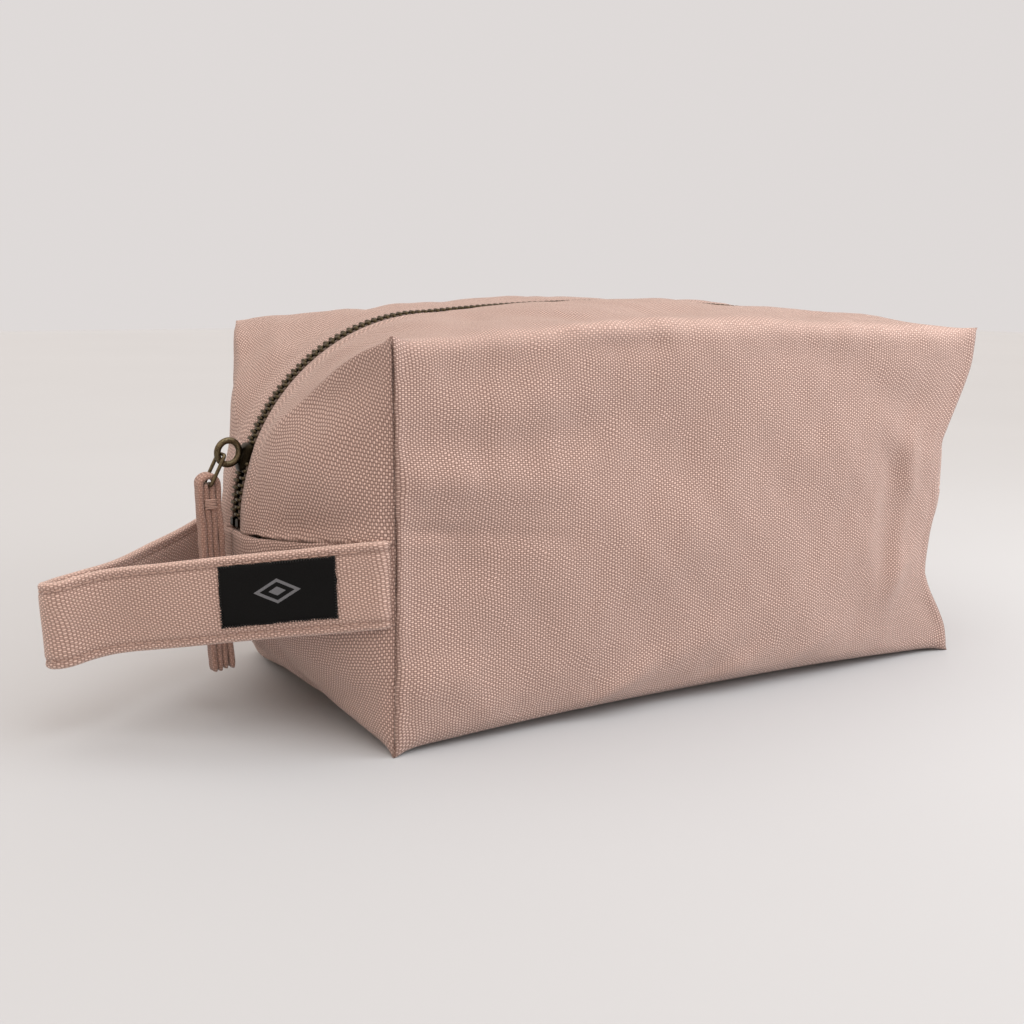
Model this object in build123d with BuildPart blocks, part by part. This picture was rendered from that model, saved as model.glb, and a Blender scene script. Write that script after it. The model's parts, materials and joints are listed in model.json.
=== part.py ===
"""Shaving kit bag: a boxy canvas pouch with a metal zip over the top and a sewn strap handle.

Frame: origin at the centre of the footprint on the table, +X along the bag, +Y to the back,
+Z up. The strap handle and the closed slider are at the -X end. Millimetres.
"""
from math import atan2, cos, degrees, hypot, pi, radians, sin
import os

from build123d import *

# Bag body, measured outside the canvas
LENGTH = 243.2            # between the boxed corner seams, along X
WIDTH = 130.0             # between the front and back walls, along Y
CORNER_HEIGHT = 127.0     # of the four top corners
WALL_CROWN = 131.0        # middle of the front and back walls' top edges
WALL_CROWN_SIDE = 128.5   # the same edges, above the zip's arc centres
SEAM_HEIGHT = 62.0        # horizontal seam of each end, where the zip ends
SEAM_HEIGHT_CORNER = 66.0
FOOT_BULGE = 2.4          # how far the ends' feet stand out past the corner seams, at the middle
LOW_BULGE = 19.4          # the same, half way down the lower end wall
LOW_BULGE_HEIGHT = 28.0
WAIST = 12.0              # how far the right corner seams are drawn in, level with the end seam
WAIST_LOW = (14.5, 33.0)  # the same half way below it, and its height
CANVAS = 1.2              # thickness of the canvas panels

# Zip path: an arc down each end joined by a shallow crown
ARC_X = 77.0              # arc centres, either side of the middle
ARC_RADIUS = 71.0         # of the panels' outer face
CROWN_HEIGHT = 136.5      # middle of the zip path
CREASE_ANGLE = 158.0      # where the crease from the top corner reaches the arc
BAND = 10.0               # half width of the level band that holds the zip
SLOT = 5.5                # half width of the opening between the panel edges

# Zip chain
TAPE_DEPTH = 1.8          # of the tape's middle below the panels' outer face
TAPE_THICKNESS = 0.6
TAPE_EDGE = 1.3           # nearest that the tape comes to the middle
PITCH = 2.4
TOOTH = (1.1, 2.9, 1.8)   # along the path, across it, through it
TOOTH_REACH = 0.7         # how far a tooth passes the middle when the zip is closed
OPEN_SHIFT = 1.0          # how far each row stands off past the slider
POST_SHIFT = 1.8          # the same, beside the slider's post

# Slider, in the closed position on the left arc
SLIDER_ANGLE = 160.5
SLIDER_LENGTH = 13.0
SLIDER_REAR = 3.4         # half width at the closed side
SLIDER_FRONT = 5.1        # half width at the open side
PLATE = 1.05
CHANNEL = 2.7             # clear height between the plates
FLANGE = 0.8
TAPE_GAP = 1.7            # clear height between the flanges
BAIL = (12.0, 9.2, 2.2)   # along the path, above the top plate, thickness
BAIL_HOLE = (5.8, 4.0)
BAIL_HOLE_HEIGHT = 5.1    # of the hole's middle above the top plate

# Wire link and canvas pull tab
WIRE = 1.2
LINK_TOP = (-150.7, 86.9)     # X, Z of the bar through the bail
LINK_BOTTOM = (-155.6, 77.3)  # X, Z of the bar through the tab
LINK_HALF_WIDTH = 3.3
LINK_CORNER = 1.1          # bend radius of the wire's middle
TAB_THICKNESS = 7.8
TAB_WIDTH = 5.0
TAB_END = 15.5                # height of the tab's lower end
TAB_HOLE = 1.45
TACK_DROP = 6.0               # bar tack below the bar, to its middle
TACK = (3.6, 5.4, 3.4)        # between the legs, across them, tall

# Strap handle, a folded canvas band sewn into both corner seams of the left end
STRAP_WIDTH = 27.0
STRAP_THICKNESS = 3.0
STRAP_HEIGHT = 51.0       # of its middle between the corner seams
STRAP_DROOP = 8.3         # degrees below level
STRAP_ROLL = 2.64         # degrees; the back leg is sewn in lower
STRAP_REACH = 88.0        # from the seams to the tip, along the droop
STRAP_NECK = (70.0, 6.0)  # where the legs turn into the nose: outward, off the middle
STRAP_NOSE_RADIUS = 5.8
STRAP_NECK_RADIUS = 25.0
STRAP_END = 8.5           # length of each sewn end
STRAP_START = 15.8        # where the moving loop starts along each leg
LABEL = (34.0, 18.0, 0.8)
LABEL_START = 17.0        # along the near leg from the seam

# Binding over the raw seam edges inside
BINDING = (8.0, 1.5)

HALF_LENGTH = LENGTH / 2
HALF_WIDTH = WIDTH / 2
TOOTH_RADIUS = ARC_RADIUS - TAPE_DEPTH
BELOW = 2.0               # how far the hull is drawn below the table before it is cut level


def arc_point(radius, angle):
    """X, Z on the left end arc."""
    return (-ARC_X + radius * cos(radians(angle)), SEAM_HEIGHT + radius * sin(radians(angle)))


def mirrored(point):
    return (-point[0], point[1])


def closed_outline(bottom, seam, low, crease, shoulder, crown, shoulder_arc, right_seam=None,
                   right_low=None):
    """Eight edges: floor, two lower ends, two cheeks, two shoulders, crown.

    low and shoulder_arc are points on the curved edges, or None for straight ones. The right end
    mirrors the left, unless it has its own seam and low points.
    """
    right_seam = right_seam or mirrored(seam)
    right_low = right_low or (low and mirrored(low))

    def edge(start, end, through):
        if through is None:
            Line(start, end)
        else:
            ThreePointArc(start, through, end)

    cheek_arc = None
    if shoulder_arc is not None:
        radius = hypot(seam[0] + ARC_X, seam[1] - SEAM_HEIGHT)
        cheek_arc = arc_point(radius, (180 + CREASE_ANGLE) / 2)
    Line(mirrored(bottom), bottom)
    edge(bottom, seam, low)
    edge(seam, crease, cheek_arc)
    edge(crease, shoulder, shoulder_arc)
    ThreePointArc(shoulder, crown, mirrored(shoulder))
    edge(mirrored(shoulder), mirrored(crease), shoulder_arc and mirrored(shoulder_arc))
    edge(mirrored(crease), right_seam, cheek_arc and mirrored(cheek_arc))
    edge(right_seam, mirrored(bottom), right_low)


def wall_outline(inset, floor):
    """Outline of the front or back wall."""
    side = inset - HALF_LENGTH
    closed_outline(
        bottom=(side, floor),
        seam=(side, SEAM_HEIGHT_CORNER),
        low=None,
        crease=(side, CORNER_HEIGHT - inset),
        shoulder=(-ARC_X, WALL_CROWN_SIDE - inset),
        crown=(0, WALL_CROWN - inset),
        shoulder_arc=None,
        right_seam=(-side - WAIST, SEAM_HEIGHT_CORNER),
        right_low=(-side - WAIST_LOW[0], WAIST_LOW[1]),
    )


def zip_outline(inset, floor):
    """Outline of the bag along the zip."""
    radius = ARC_RADIUS - inset
    closed_outline(
        bottom=(inset - HALF_LENGTH - FOOT_BULGE, floor),
        seam=(-ARC_X - radius, SEAM_HEIGHT),
        low=(inset - HALF_LENGTH - LOW_BULGE, LOW_BULGE_HEIGHT),
        crease=arc_point(radius, CREASE_ANGLE),
        shoulder=(-ARC_X, SEAM_HEIGHT + radius),
        crown=(0, CROWN_HEIGHT - inset),
        shoulder_arc=arc_point(radius, (90 + CREASE_ANGLE) / 2),
    )


def hull(inset, floor):
    """The bag's closed form, drawn in by inset, with its underside at the height floor."""
    with BuildPart() as form:
        with BuildSketch(Plane.XZ.offset(HALF_WIDTH - inset)):
            with BuildLine():
                wall_outline(inset, floor)
            make_face()
        with BuildSketch(Plane.XZ.offset(BAND)):
            with BuildLine():
                zip_outline(inset, floor)
            make_face()
        loft(ruled=True)
        mirror(about=Plane.XZ)
        with BuildSketch(Plane.XZ):
            with BuildLine():
                zip_outline(inset, floor)
            make_face()
        extrude(amount=BAND, both=True)
    return form.part


def save(part, name):
    part.label = name
    export_step(part, f"parts/{name}.step")


def side_sign(side):
    """Y direction of the front (-1) or back (+1) half."""
    return -1 if side == "front" else 1


def canvas_panels():
    outer = hull(0, -BELOW)
    inner = hull(CANVAS, CANVAS)
    for side in ("front", "back"):
        with BuildPart() as panel:
            add(outer)
            add(inner, mode=Mode.SUBTRACT)
            split(bisect_by=Plane.XY)
            split(bisect_by=Plane.XZ, keep=Keep.TOP if side == "front" else Keep.BOTTOM)
            with BuildSketch(Plane.XY.offset(SEAM_HEIGHT)):
                Rectangle(2 * LENGTH, 2 * SLOT)
            extrude(amount=LENGTH, mode=Mode.SUBTRACT)
        save(panel.part, f"{side}_panel")


def zip_path(depth):
    """Edges of the zip path at a depth below the panels' outer face, from left to right."""
    radius = ARC_RADIUS - depth
    left = (-ARC_X - radius, SEAM_HEIGHT)
    shoulder = (-ARC_X, SEAM_HEIGHT + radius)
    through = arc_point(radius, 135)
    ThreePointArc(left, through, shoulder)
    ThreePointArc(shoulder, (0, CROWN_HEIGHT - depth), mirrored(shoulder))
    ThreePointArc(mirrored(shoulder), mirrored(through), mirrored(left))


def zip_tapes():
    top = TAPE_DEPTH - TAPE_THICKNESS / 2
    bottom = TAPE_DEPTH + TAPE_THICKNESS / 2
    end = ARC_X + ARC_RADIUS
    for side in ("front", "back"):
        sign = side_sign(side)
        with BuildPart() as tape:
            with BuildSketch(Plane.XZ.offset(-sign * TAPE_EDGE)):
                with BuildLine():
                    zip_path(top)
                    Line((end - top, SEAM_HEIGHT), (end - bottom, SEAM_HEIGHT))
                    zip_path(bottom)
                    Line((bottom - end, SEAM_HEIGHT), (top - end, SEAM_HEIGHT))
                make_face()
            extrude(amount=-sign * (BAND - TAPE_EDGE))
        save(tape.part, f"zip_tape_{side}")


def row_shift(past_slider):
    """How far each row stands off the middle, by distance past the slider's middle."""
    ramp_start, ramp_end, post_end, settle_end = -4.0, 3.0, 7.0, 15.0
    if past_slider <= ramp_start:
        return 0.0
    if past_slider < ramp_end:
        return POST_SHIFT * (past_slider - ramp_start) / (ramp_end - ramp_start)
    if past_slider < post_end:
        return POST_SHIFT
    if past_slider < settle_end:
        return POST_SHIFT + (OPEN_SHIFT - POST_SHIFT) * (past_slider - post_end) / (settle_end - post_end)
    return OPEN_SHIFT


def tooth_plane(path, distance):
    """Plane on the path with x along it, y to the back and z out of the bag."""
    at = path.position_at(distance / path.length)
    along = path.tangent_at(distance / path.length)
    return Plane(origin=at, x_dir=along, z_dir=Vector(-along.Z, 0, along.X))


def zip_center_path():
    with BuildLine(Plane.XZ) as line:
        zip_path(TAPE_DEPTH)
    return line.wires()[0]


def zip_teeth(path):
    slider_at = radians(180 - SLIDER_ANGLE) * TOOTH_RADIUS
    end_clear = 5.0
    rows = {"front": 0.0, "back": PITCH / 2}
    count = int((path.length - 2 * end_clear) / PITCH)
    for side, stagger in rows.items():
        sign = side_sign(side)
        places = []
        for index in range(count):
            distance = end_clear + stagger + index * PITCH
            shift = row_shift(slider_at - distance)
            middle = sign * (TOOTH[1] / 2 - TOOTH_REACH + shift)
            places.append(tooth_plane(path, distance).location * Pos(0, middle, 0))
        with BuildPart() as row:
            with Locations(places):
                Box(*TOOTH)
        save(row.part, f"zip_teeth_{side}")


def zip_stops(path):
    """Two top stops at the left end and one bottom stop, across both tapes, at the right end."""
    from_end = 2.2
    top_stop = (3.0, 2.2, 2.0)
    bottom_stop = (3.6, 5.0, 2.0)
    with BuildPart() as top:
        plane = tooth_plane(path, from_end)
        offset = TAPE_EDGE + top_stop[1] / 2
        for sign in (-1, 1):
            with Locations(plane.location * Pos(0, sign * offset, 0)):
                Box(*top_stop)
        fillet(top.edges().filter_by(Axis.Y), 0.6)
    save(top.part, "zip_top_stops")
    with BuildPart() as bottom:
        with Locations(tooth_plane(path, path.length - from_end).location):
            Box(*bottom_stop)
        fillet(bottom.edges().filter_by(Axis.Y), 0.6)
    save(bottom.part, "zip_bottom_stop")


def slider_plane(radius):
    """Plane on the slider with x towards the open side, y to the front and z out of the bag."""
    x, z = arc_point(radius, SLIDER_ANGLE)
    angle = radians(SLIDER_ANGLE)
    return Plane(
        origin=(x, 0, z),
        x_dir=(-sin(angle), 0, cos(angle)),
        z_dir=(cos(angle), 0, sin(angle)),
    )


def slider_outline(inset):
    """Half widths of the slider along its length, drawn in by inset."""
    half = SLIDER_LENGTH / 2
    upper = [
        (-half, SLIDER_REAR - inset),
        (-3.0, SLIDER_REAR + 0.2 - inset),
        (2.5, SLIDER_FRONT - inset),
        (half, SLIDER_FRONT - inset),
    ]
    lower = [(x, -y) for x, y in reversed(upper)]
    return upper + lower


def slider():
    half_channel = CHANNEL / 2
    plate_outside = half_channel + PLATE
    post = [(1.2, 0), (3.6, 0.8), (6.2, 0.8), (6.2, -0.8), (3.6, -0.8)]
    with BuildPart() as body:
        for sign in (-1, 1):
            bottom = half_channel if sign > 0 else -plate_outside
            with BuildSketch(slider_plane(TOOTH_RADIUS + bottom)):
                Polygon(*slider_outline(0), align=None)
                fillet(vertices(), 0.7)
            extrude(amount=PLATE)
            flange_bottom = TAPE_GAP / 2 if sign > 0 else -half_channel
            with BuildSketch(slider_plane(TOOTH_RADIUS + flange_bottom)):
                Polygon(*slider_outline(0.05), align=None)
                Polygon(*slider_outline(FLANGE), align=None, mode=Mode.SUBTRACT)
                for end in (-1, 1):
                    with Locations((end * SLIDER_LENGTH / 2, 0)):
                        Rectangle(1.6, 2 * (SLIDER_REAR - FLANGE), mode=Mode.SUBTRACT)
                with Locations((SLIDER_LENGTH / 2, 0)):
                    Rectangle(1.6, 2 * (SLIDER_FRONT - FLANGE), mode=Mode.SUBTRACT)
            extrude(amount=half_channel - TAPE_GAP / 2)
        with BuildSketch(slider_plane(TOOTH_RADIUS - half_channel)):
            Polygon(*post, align=None)
        extrude(amount=CHANNEL)
    save(body.part, "slider_body")

    length, height, thickness = BAIL
    upright = slider_plane(TOOTH_RADIUS + plate_outside)
    side_plane = Plane(origin=upright.origin, x_dir=upright.x_dir, z_dir=-upright.y_dir)
    with BuildPart() as bail:
        with BuildSketch(side_plane):
            with Locations((0, height / 2)):
                RectangleRounded(length, height, height / 2 - 0.4)
            with Locations((0, BAIL_HOLE_HEIGHT)):
                RectangleRounded(*BAIL_HOLE, BAIL_HOLE[1] / 2 - 0.1, mode=Mode.SUBTRACT)
        extrude(amount=thickness / 2, both=True)
        sides = bail.faces().sort_by(Axis.Y)
        fillet(sides[0].edges() + sides[-1].edges(), 0.5)
    save(bail.part, "slider_bail")


def pull_link():
    """A rectangular wire link in the plane of Y and the line between its two bars."""
    top = Vector(LINK_TOP[0], 0, LINK_TOP[1])
    bottom = Vector(LINK_BOTTOM[0], 0, LINK_BOTTOM[1])
    down = (bottom - top).normalized()
    plane = Plane(origin=top, x_dir=down, z_dir=down.cross(Vector(0, 1, 0)))
    long = (bottom - top).length
    with BuildSketch(plane) as outline:
        with Locations((long / 2, 0)):
            RectangleRounded(long, 2 * LINK_HALF_WIDTH, LINK_CORNER)
    path = outline.sketch.face().outer_wire()
    with BuildPart() as link:
        with BuildSketch(Plane(origin=path @ 0, z_dir=path % 0)):
            Circle(WIRE / 2)
        sweep(path=path)
    save(link.part, "pull_link")


def pull_tab():
    x, z = LINK_BOTTOM
    half = TAB_THICKNESS / 2
    with BuildPart() as tab:
        with BuildSketch(Plane.XZ):
            with BuildLine():
                Line((x - half, z), (x - half, TAB_END))
                Line((x - half, TAB_END), (x + half, TAB_END))
                Line((x + half, TAB_END), (x + half, z))
                ThreePointArc((x + half, z), (x, z + half), (x - half, z))
            make_face()
            with Locations((x, z)):
                Circle(TAB_HOLE / 2, mode=Mode.SUBTRACT)
            with Locations((x, z - TACK_DROP)):
                Rectangle(TACK[0] + 0.2, TACK[2] + 0.2, mode=Mode.SUBTRACT)
        extrude(amount=TAB_WIDTH / 2, both=True)
    save(tab.part, "pull_tab")
    with BuildPart() as tack:
        with Locations((x, 0, z - TACK_DROP)):
            Box(*TACK)
        fillet(tack.edges().filter_by(Axis.Y), 0.6)
    save(tack.part, "tab_bar_tack")


def strap_plane():
    """Plane of the drooping loop: x outwards from the corner seams, y to the back, z down."""
    droop, roll = radians(STRAP_DROOP), radians(STRAP_ROLL)
    return Plane(
        origin=(-HALF_LENGTH, 0, STRAP_HEIGHT),
        x_dir=(-cos(droop), 0, -sin(droop)),
        z_dir=(sin(droop) * cos(roll), -cos(droop) * sin(roll), -cos(droop) * cos(roll)),
    )


def leg_point(distance):
    """Point of the near leg's middle line, that distance along it from the seam."""
    out, off = STRAP_NECK
    angle = atan2(HALF_WIDTH - off, out)
    return (distance * cos(angle), distance * sin(angle) - HALF_WIDTH)


def opposite(point):
    return (point[0], -point[1])


def strap_section(start, towards):
    """Cross-section of the strap at a point of its path."""
    frame = strap_plane()
    at = frame.from_local_coords(Vector(start[0], start[1], 0))
    ahead = frame.from_local_coords(Vector(towards[0], towards[1], 0))
    return Plane(origin=at, x_dir=frame.z_dir, z_dir=ahead - at)


def handle():
    neck_out, neck_off = STRAP_NECK
    neck = (neck_out, -neck_off)
    nose = (STRAP_REACH - STRAP_THICKNESS / 2, -neck_off)
    start = leg_point(STRAP_START)
    with BuildPart() as strap:
        with BuildLine(strap_plane()):
            FilletPolyline(
                start, neck, nose, opposite(nose), opposite(neck), opposite(start),
                radius=[STRAP_NECK_RADIUS, STRAP_NOSE_RADIUS, STRAP_NOSE_RADIUS, STRAP_NECK_RADIUS],
            )
        with BuildSketch(strap_section(start, neck)):
            Rectangle(STRAP_WIDTH, STRAP_THICKNESS)
        sweep()
    save(strap.part, "handle_strap")

    for side in ("front", "back"):
        ends = [leg_point(0), leg_point(STRAP_END)]
        if side == "back":
            ends = [opposite(point) for point in ends]
        with BuildPart() as sewn_end:
            with BuildSketch(strap_section(*ends)):
                Rectangle(STRAP_WIDTH, STRAP_THICKNESS)
            extrude(amount=STRAP_END)
        save(sewn_end.part, f"handle_end_{side}")

    frame = strap_plane()
    along_x, along_y = leg_point(1)[0], leg_point(1)[1] + HALF_WIDTH
    length, height, thickness = LABEL
    lift = STRAP_THICKNESS / 2
    middle_x, middle_y = leg_point(LABEL_START + length / 2)
    origin = frame.from_local_coords(
        Vector(middle_x + along_y * lift, middle_y - along_x * lift, 0)
    )
    outward = frame.from_local_coords(Vector(along_y, -along_x, 0)) - frame.origin
    along = frame.from_local_coords(Vector(along_x, along_y, 0)) - frame.origin
    with BuildPart() as label:
        with BuildSketch(Plane(origin=origin, x_dir=along, z_dir=outward)):
            Rectangle(length, height)
        extrude(amount=thickness)
    save(label.part, "handle_label")


def seam_bindings():
    width, thickness = BINDING
    gap = 0.3
    margin = 6.0
    floor_clear = 4.0
    upright = CORNER_HEIGHT - 2 * margin
    corner_x = HALF_LENGTH - CANVAS - 1.5 - width / 2
    corner_y = HALF_WIDTH - CANVAS - gap - thickness / 2
    for end, sign_x, drawn_in in (("left", -1, 0), ("right", 1, 1)):
        for side in ("front", "back"):
            line = [
                (corner_x - drawn_in * WAIST_LOW[0] / 2, margin),
                (corner_x - drawn_in * (WAIST_LOW[0] + 1), WAIST_LOW[1]),
                (corner_x - drawn_in * (WAIST + 1), SEAM_HEIGHT_CORNER),
                (corner_x, margin + upright),
            ]
            inner = [(x - width / 2, z) for x, z in line]
            outer = [(x + width / 2, z) for x, z in reversed(line)]
            with BuildPart() as binding:
                with BuildSketch(Plane.XZ.offset(-side_sign(side) * corner_y)):
                    Polygon(*[(sign_x * x, z) for x, z in inner + outer], align=None)
                extrude(amount=thickness / 2, both=True)
            save(binding.part, f"corner_binding_{end}_{side}")
        tip = (sign_x * (ARC_X + ARC_RADIUS - 5.0), BAND - 1)
        root = (sign_x * (HALF_LENGTH - 4.5 - drawn_in * WAIST), HALF_WIDTH - 7.0)
        with BuildPart() as binding:
            with BuildSketch(Plane.XY.offset(SEAM_HEIGHT - width)):
                with BuildLine():
                    Polyline(root, tip, opposite(tip), opposite(root))
                    back = -sign_x * thickness
                    Line(opposite(root), (root[0] + back, -root[1]))
                    Polyline(
                        (root[0] + back, -root[1]), (tip[0] + back, -tip[1]),
                        (tip[0] + back, tip[1]), (root[0] + back, root[1]),
                    )
                    Line((root[0] + back, root[1]), root)
                make_face()
            extrude(amount=width)
        save(binding.part, f"end_binding_{end}")
    with BuildPart() as binding:
        with Locations((0, 0, CANVAS + gap + thickness / 2)):
            Box(LENGTH - 2 * margin, width, thickness)
        fillet(binding.edges().filter_by(Axis.X), 0.5)
    save(binding.part, "bottom_binding")


os.makedirs("parts", exist_ok=True)
canvas_panels()
zip_tapes()
chain_path = zip_center_path()
zip_teeth(chain_path)
zip_stops(chain_path)
slider()
pull_link()
pull_tab()
handle()
seam_bindings()
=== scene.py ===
"""Looks of the shaving kit bag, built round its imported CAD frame.

Lengths are in millimetres until a mesh is made; lamps, camera and the ends of a blend are in
metres. +X runs along the bag away from the handle, +Y to the back and +Z up. The canvas is
worked out for the front half and mirrored to the back, then each half gets its own folds.
"""

import json
import math

import bpy
import numpy as np
from mathutils import Matrix, Vector


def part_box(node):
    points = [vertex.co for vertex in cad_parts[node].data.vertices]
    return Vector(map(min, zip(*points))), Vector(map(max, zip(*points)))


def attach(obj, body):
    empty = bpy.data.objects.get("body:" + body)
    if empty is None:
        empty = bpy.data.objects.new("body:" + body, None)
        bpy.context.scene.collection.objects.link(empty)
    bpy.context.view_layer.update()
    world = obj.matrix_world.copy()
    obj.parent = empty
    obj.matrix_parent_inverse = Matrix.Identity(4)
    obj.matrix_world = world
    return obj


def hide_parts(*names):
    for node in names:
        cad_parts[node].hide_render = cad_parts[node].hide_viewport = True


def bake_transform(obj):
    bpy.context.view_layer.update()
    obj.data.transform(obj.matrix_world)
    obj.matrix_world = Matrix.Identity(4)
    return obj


MM = 0.001
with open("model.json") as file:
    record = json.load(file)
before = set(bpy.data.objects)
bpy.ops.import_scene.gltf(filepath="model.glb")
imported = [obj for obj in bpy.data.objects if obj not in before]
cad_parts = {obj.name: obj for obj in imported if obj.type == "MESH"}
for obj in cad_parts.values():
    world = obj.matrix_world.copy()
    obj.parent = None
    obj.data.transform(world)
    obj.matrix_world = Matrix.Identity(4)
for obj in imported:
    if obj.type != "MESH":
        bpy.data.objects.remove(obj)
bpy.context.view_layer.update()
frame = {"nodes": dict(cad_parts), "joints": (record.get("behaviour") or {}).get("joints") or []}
nodes = frame["nodes"]
joints = {j["name"]: j for j in frame["joints"]}


def box_mm(node):
    """The low and high corners of a node's box, in millimetres."""
    low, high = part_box(node)
    return np.array(low) / MM, np.array(high) / MM


# Measures taken from the CAD frame
ARC_CENTRE = np.array(joints["slider_travel"]["pos_m"]) / MM
PANEL_LOW, PANEL_HIGH = box_mm("front_panel")
HALF_WIDTH = -PANEL_LOW[1]
HALF_LENGTH = 6.0 - box_mm("bottom_binding")[0][0]
ARC_X = -ARC_CENTRE[0]
SEAM = ARC_CENTRE[2]
RADIUS = -PANEL_LOW[0] - ARC_X
CROWN = PANEL_HIGH[2]

# Form of the canvas
CORNER = 127.0            # height of the top corners
WALL_CROWN = 131.0        # of the walls' top edges in the middle
WALL_SIDE = 128.5         # of the same edges above the arc centres
SEAM_CORNER = 66.0        # height of the end seams at the corners
# how far the lower ends stand out in the middle, by height
FOOT_PROFILE = ((0, 1.5), (8, 8.0), (16, 15.0), (23, 20.5), (30, 23.6), (42, 26.2))
FOOT = FOOT_PROFILE[0][1]
CREASE_RISE = 6.0         # of the crease above a straight line
END_FULLNESS = 0.45
CREASE = 158.0            # angle on the arc where the crease from the corner arrives
BAND = 10.0               # half width of the level band beside the zip
TAPE_DEPTH = 1.5
PITCH = 2.4
SLIDER_ANGLE = 160.5


# ---------------------------------------------------------------- meshes

def make_object(name, points, faces, uv=None, materials=(), flat=False, wear_and_shade=None):
    """A mesh object from millimetre points. uv is per face corner, wear_and_shade per point: worn
    lighter edges and painted shade.
    """
    mesh = bpy.data.meshes.new(name)
    mesh.from_pydata((np.asarray(points) * MM).tolist(), [], [list(map(int, f)) for f in faces])
    if uv is not None:
        layer = mesh.uv_layers.new(name="weave")
        layer.data.foreach_set("uv", np.asarray(uv, np.float32).ravel())
    if wear_and_shade is not None:
        layer = mesh.attributes.new("wear_and_shade", "FLOAT", "POINT")
        layer.data.foreach_set("value", np.asarray(wear_and_shade, np.float32))
    if not flat:
        mesh.polygons.foreach_set("use_smooth", [True] * len(mesh.polygons))
    for material in materials:
        mesh.materials.append(material)
    obj = bpy.data.objects.new(name, mesh)
    bpy.context.scene.collection.objects.link(obj)
    return obj


def grid_quads(rows, columns):
    """The point numbers of a grid and the quads between them."""
    index = np.arange(rows * columns).reshape(rows, columns)
    quads = np.stack([index[:-1, :-1], index[1:, :-1], index[1:, 1:], index[:-1, 1:]], -1)
    return index, quads.reshape(-1, 4)


def tube_faces(count, size, loop=False):
    """Quads and end caps of a tube of count rings; a loop joins its last ring to the first."""
    index = np.arange(count * size).reshape(count, size)
    here, ahead = (index, np.roll(index, -1, 0)) if loop else (index[:-1], index[1:])
    quads = np.stack([here, ahead, np.roll(ahead, -1, 1), np.roll(here, -1, 1)], -1)
    faces = quads.reshape(-1, 4).tolist()
    return faces if loop else faces + [index[0].tolist(), index[-1][::-1].tolist()]


def tubes(name, points, material, turned=False, loop=False):
    """One mesh of many tubes from points [tube, ring, place, 3]."""
    total, count, size = points.shape[:3]
    faces = tube_faces(count, size, loop)
    if turned:
        faces = [f[::-1] for f in faces]
    starts = range(0, total * count * size, count * size)
    faces = [[start + k for k in f] for start in starts for f in faces]
    return make_object(name, points.reshape(-1, 3), faces, None, [material])


def row(vectors):
    """Vectors [n, 3] ready to be multiplied by [ring, place, 1]."""
    return np.asarray(vectors, float)[:, None, None, :]


def unit(vectors):
    return vectors / np.maximum(np.linalg.norm(vectors, axis=-1, keepdims=True), 1e-9)


def run_of(line):
    """Lengths along a line, from its start to each of its points."""
    return np.concatenate([[0], np.cumsum(np.linalg.norm(np.diff(line, axis=0), axis=1))])


def read_at(places, run, values):
    """Each column of values, given at run, read at places."""
    return np.stack([np.interp(places, run, column) for column in values.T], -1)


def spread(count, start=False, end=False, pull=0.7):
    """count + 1 numbers from 0 to 1, closer together at the ends asked for."""
    u = np.linspace(0, 1, count + 1)
    if start and end:
        return u - pull * np.sin(2 * np.pi * u) / (2 * np.pi)
    if start:
        return u - pull * np.sin(np.pi * u) / np.pi
    if end:
        return u + pull * np.sin(np.pi * u) / np.pi
    return u


def bell(distance, width):
    """1 where distance is 0, fading to nothing past twice the width."""
    return np.exp(-(distance / width) ** 2)


def step(x, low, high):
    """0 below low, 1 above high, smooth between."""
    t = np.clip((x - low) / (high - low), 0, 1)
    return t * t * (3 - 2 * t)


def smooth_interp(x, table, blur=25):
    """A table of places and values read at x, with its bends rounded off."""
    fine = np.linspace(table[0, 0], table[-1, 0], 200)
    line = np.interp(fine, table[:, 0], table[:, 1])
    kernel = np.hanning(blur)
    half = blur // 2
    before = 2 * line[0] - line[half:0:-1]
    after = 2 * line[-1] - line[-2:-half - 2:-1]
    padded = np.concatenate([before, line, after])
    return np.interp(x, fine, np.convolve(padded, kernel / kernel.sum(), "valid"))


class Waves:
    """Smooth seeded unevenness of about one unit, at a given size in millimetres."""

    def __init__(self, seed, size, count=24):
        draw = np.random.default_rng(seed)
        direction = unit(draw.normal(size=(count, 3)))
        self.waves = direction * (2 * np.pi / (size * draw.uniform(0.6, 1.8, (count, 1))))
        self.phase = draw.uniform(0, 2 * np.pi, count)
        self.scale = math.sqrt(2 / count)

    def __call__(self, points):
        return np.sin(np.asarray(points) @ self.waves.T + self.phase).sum(-1) * self.scale


# ---------------------------------------------------------------- materials

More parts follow.
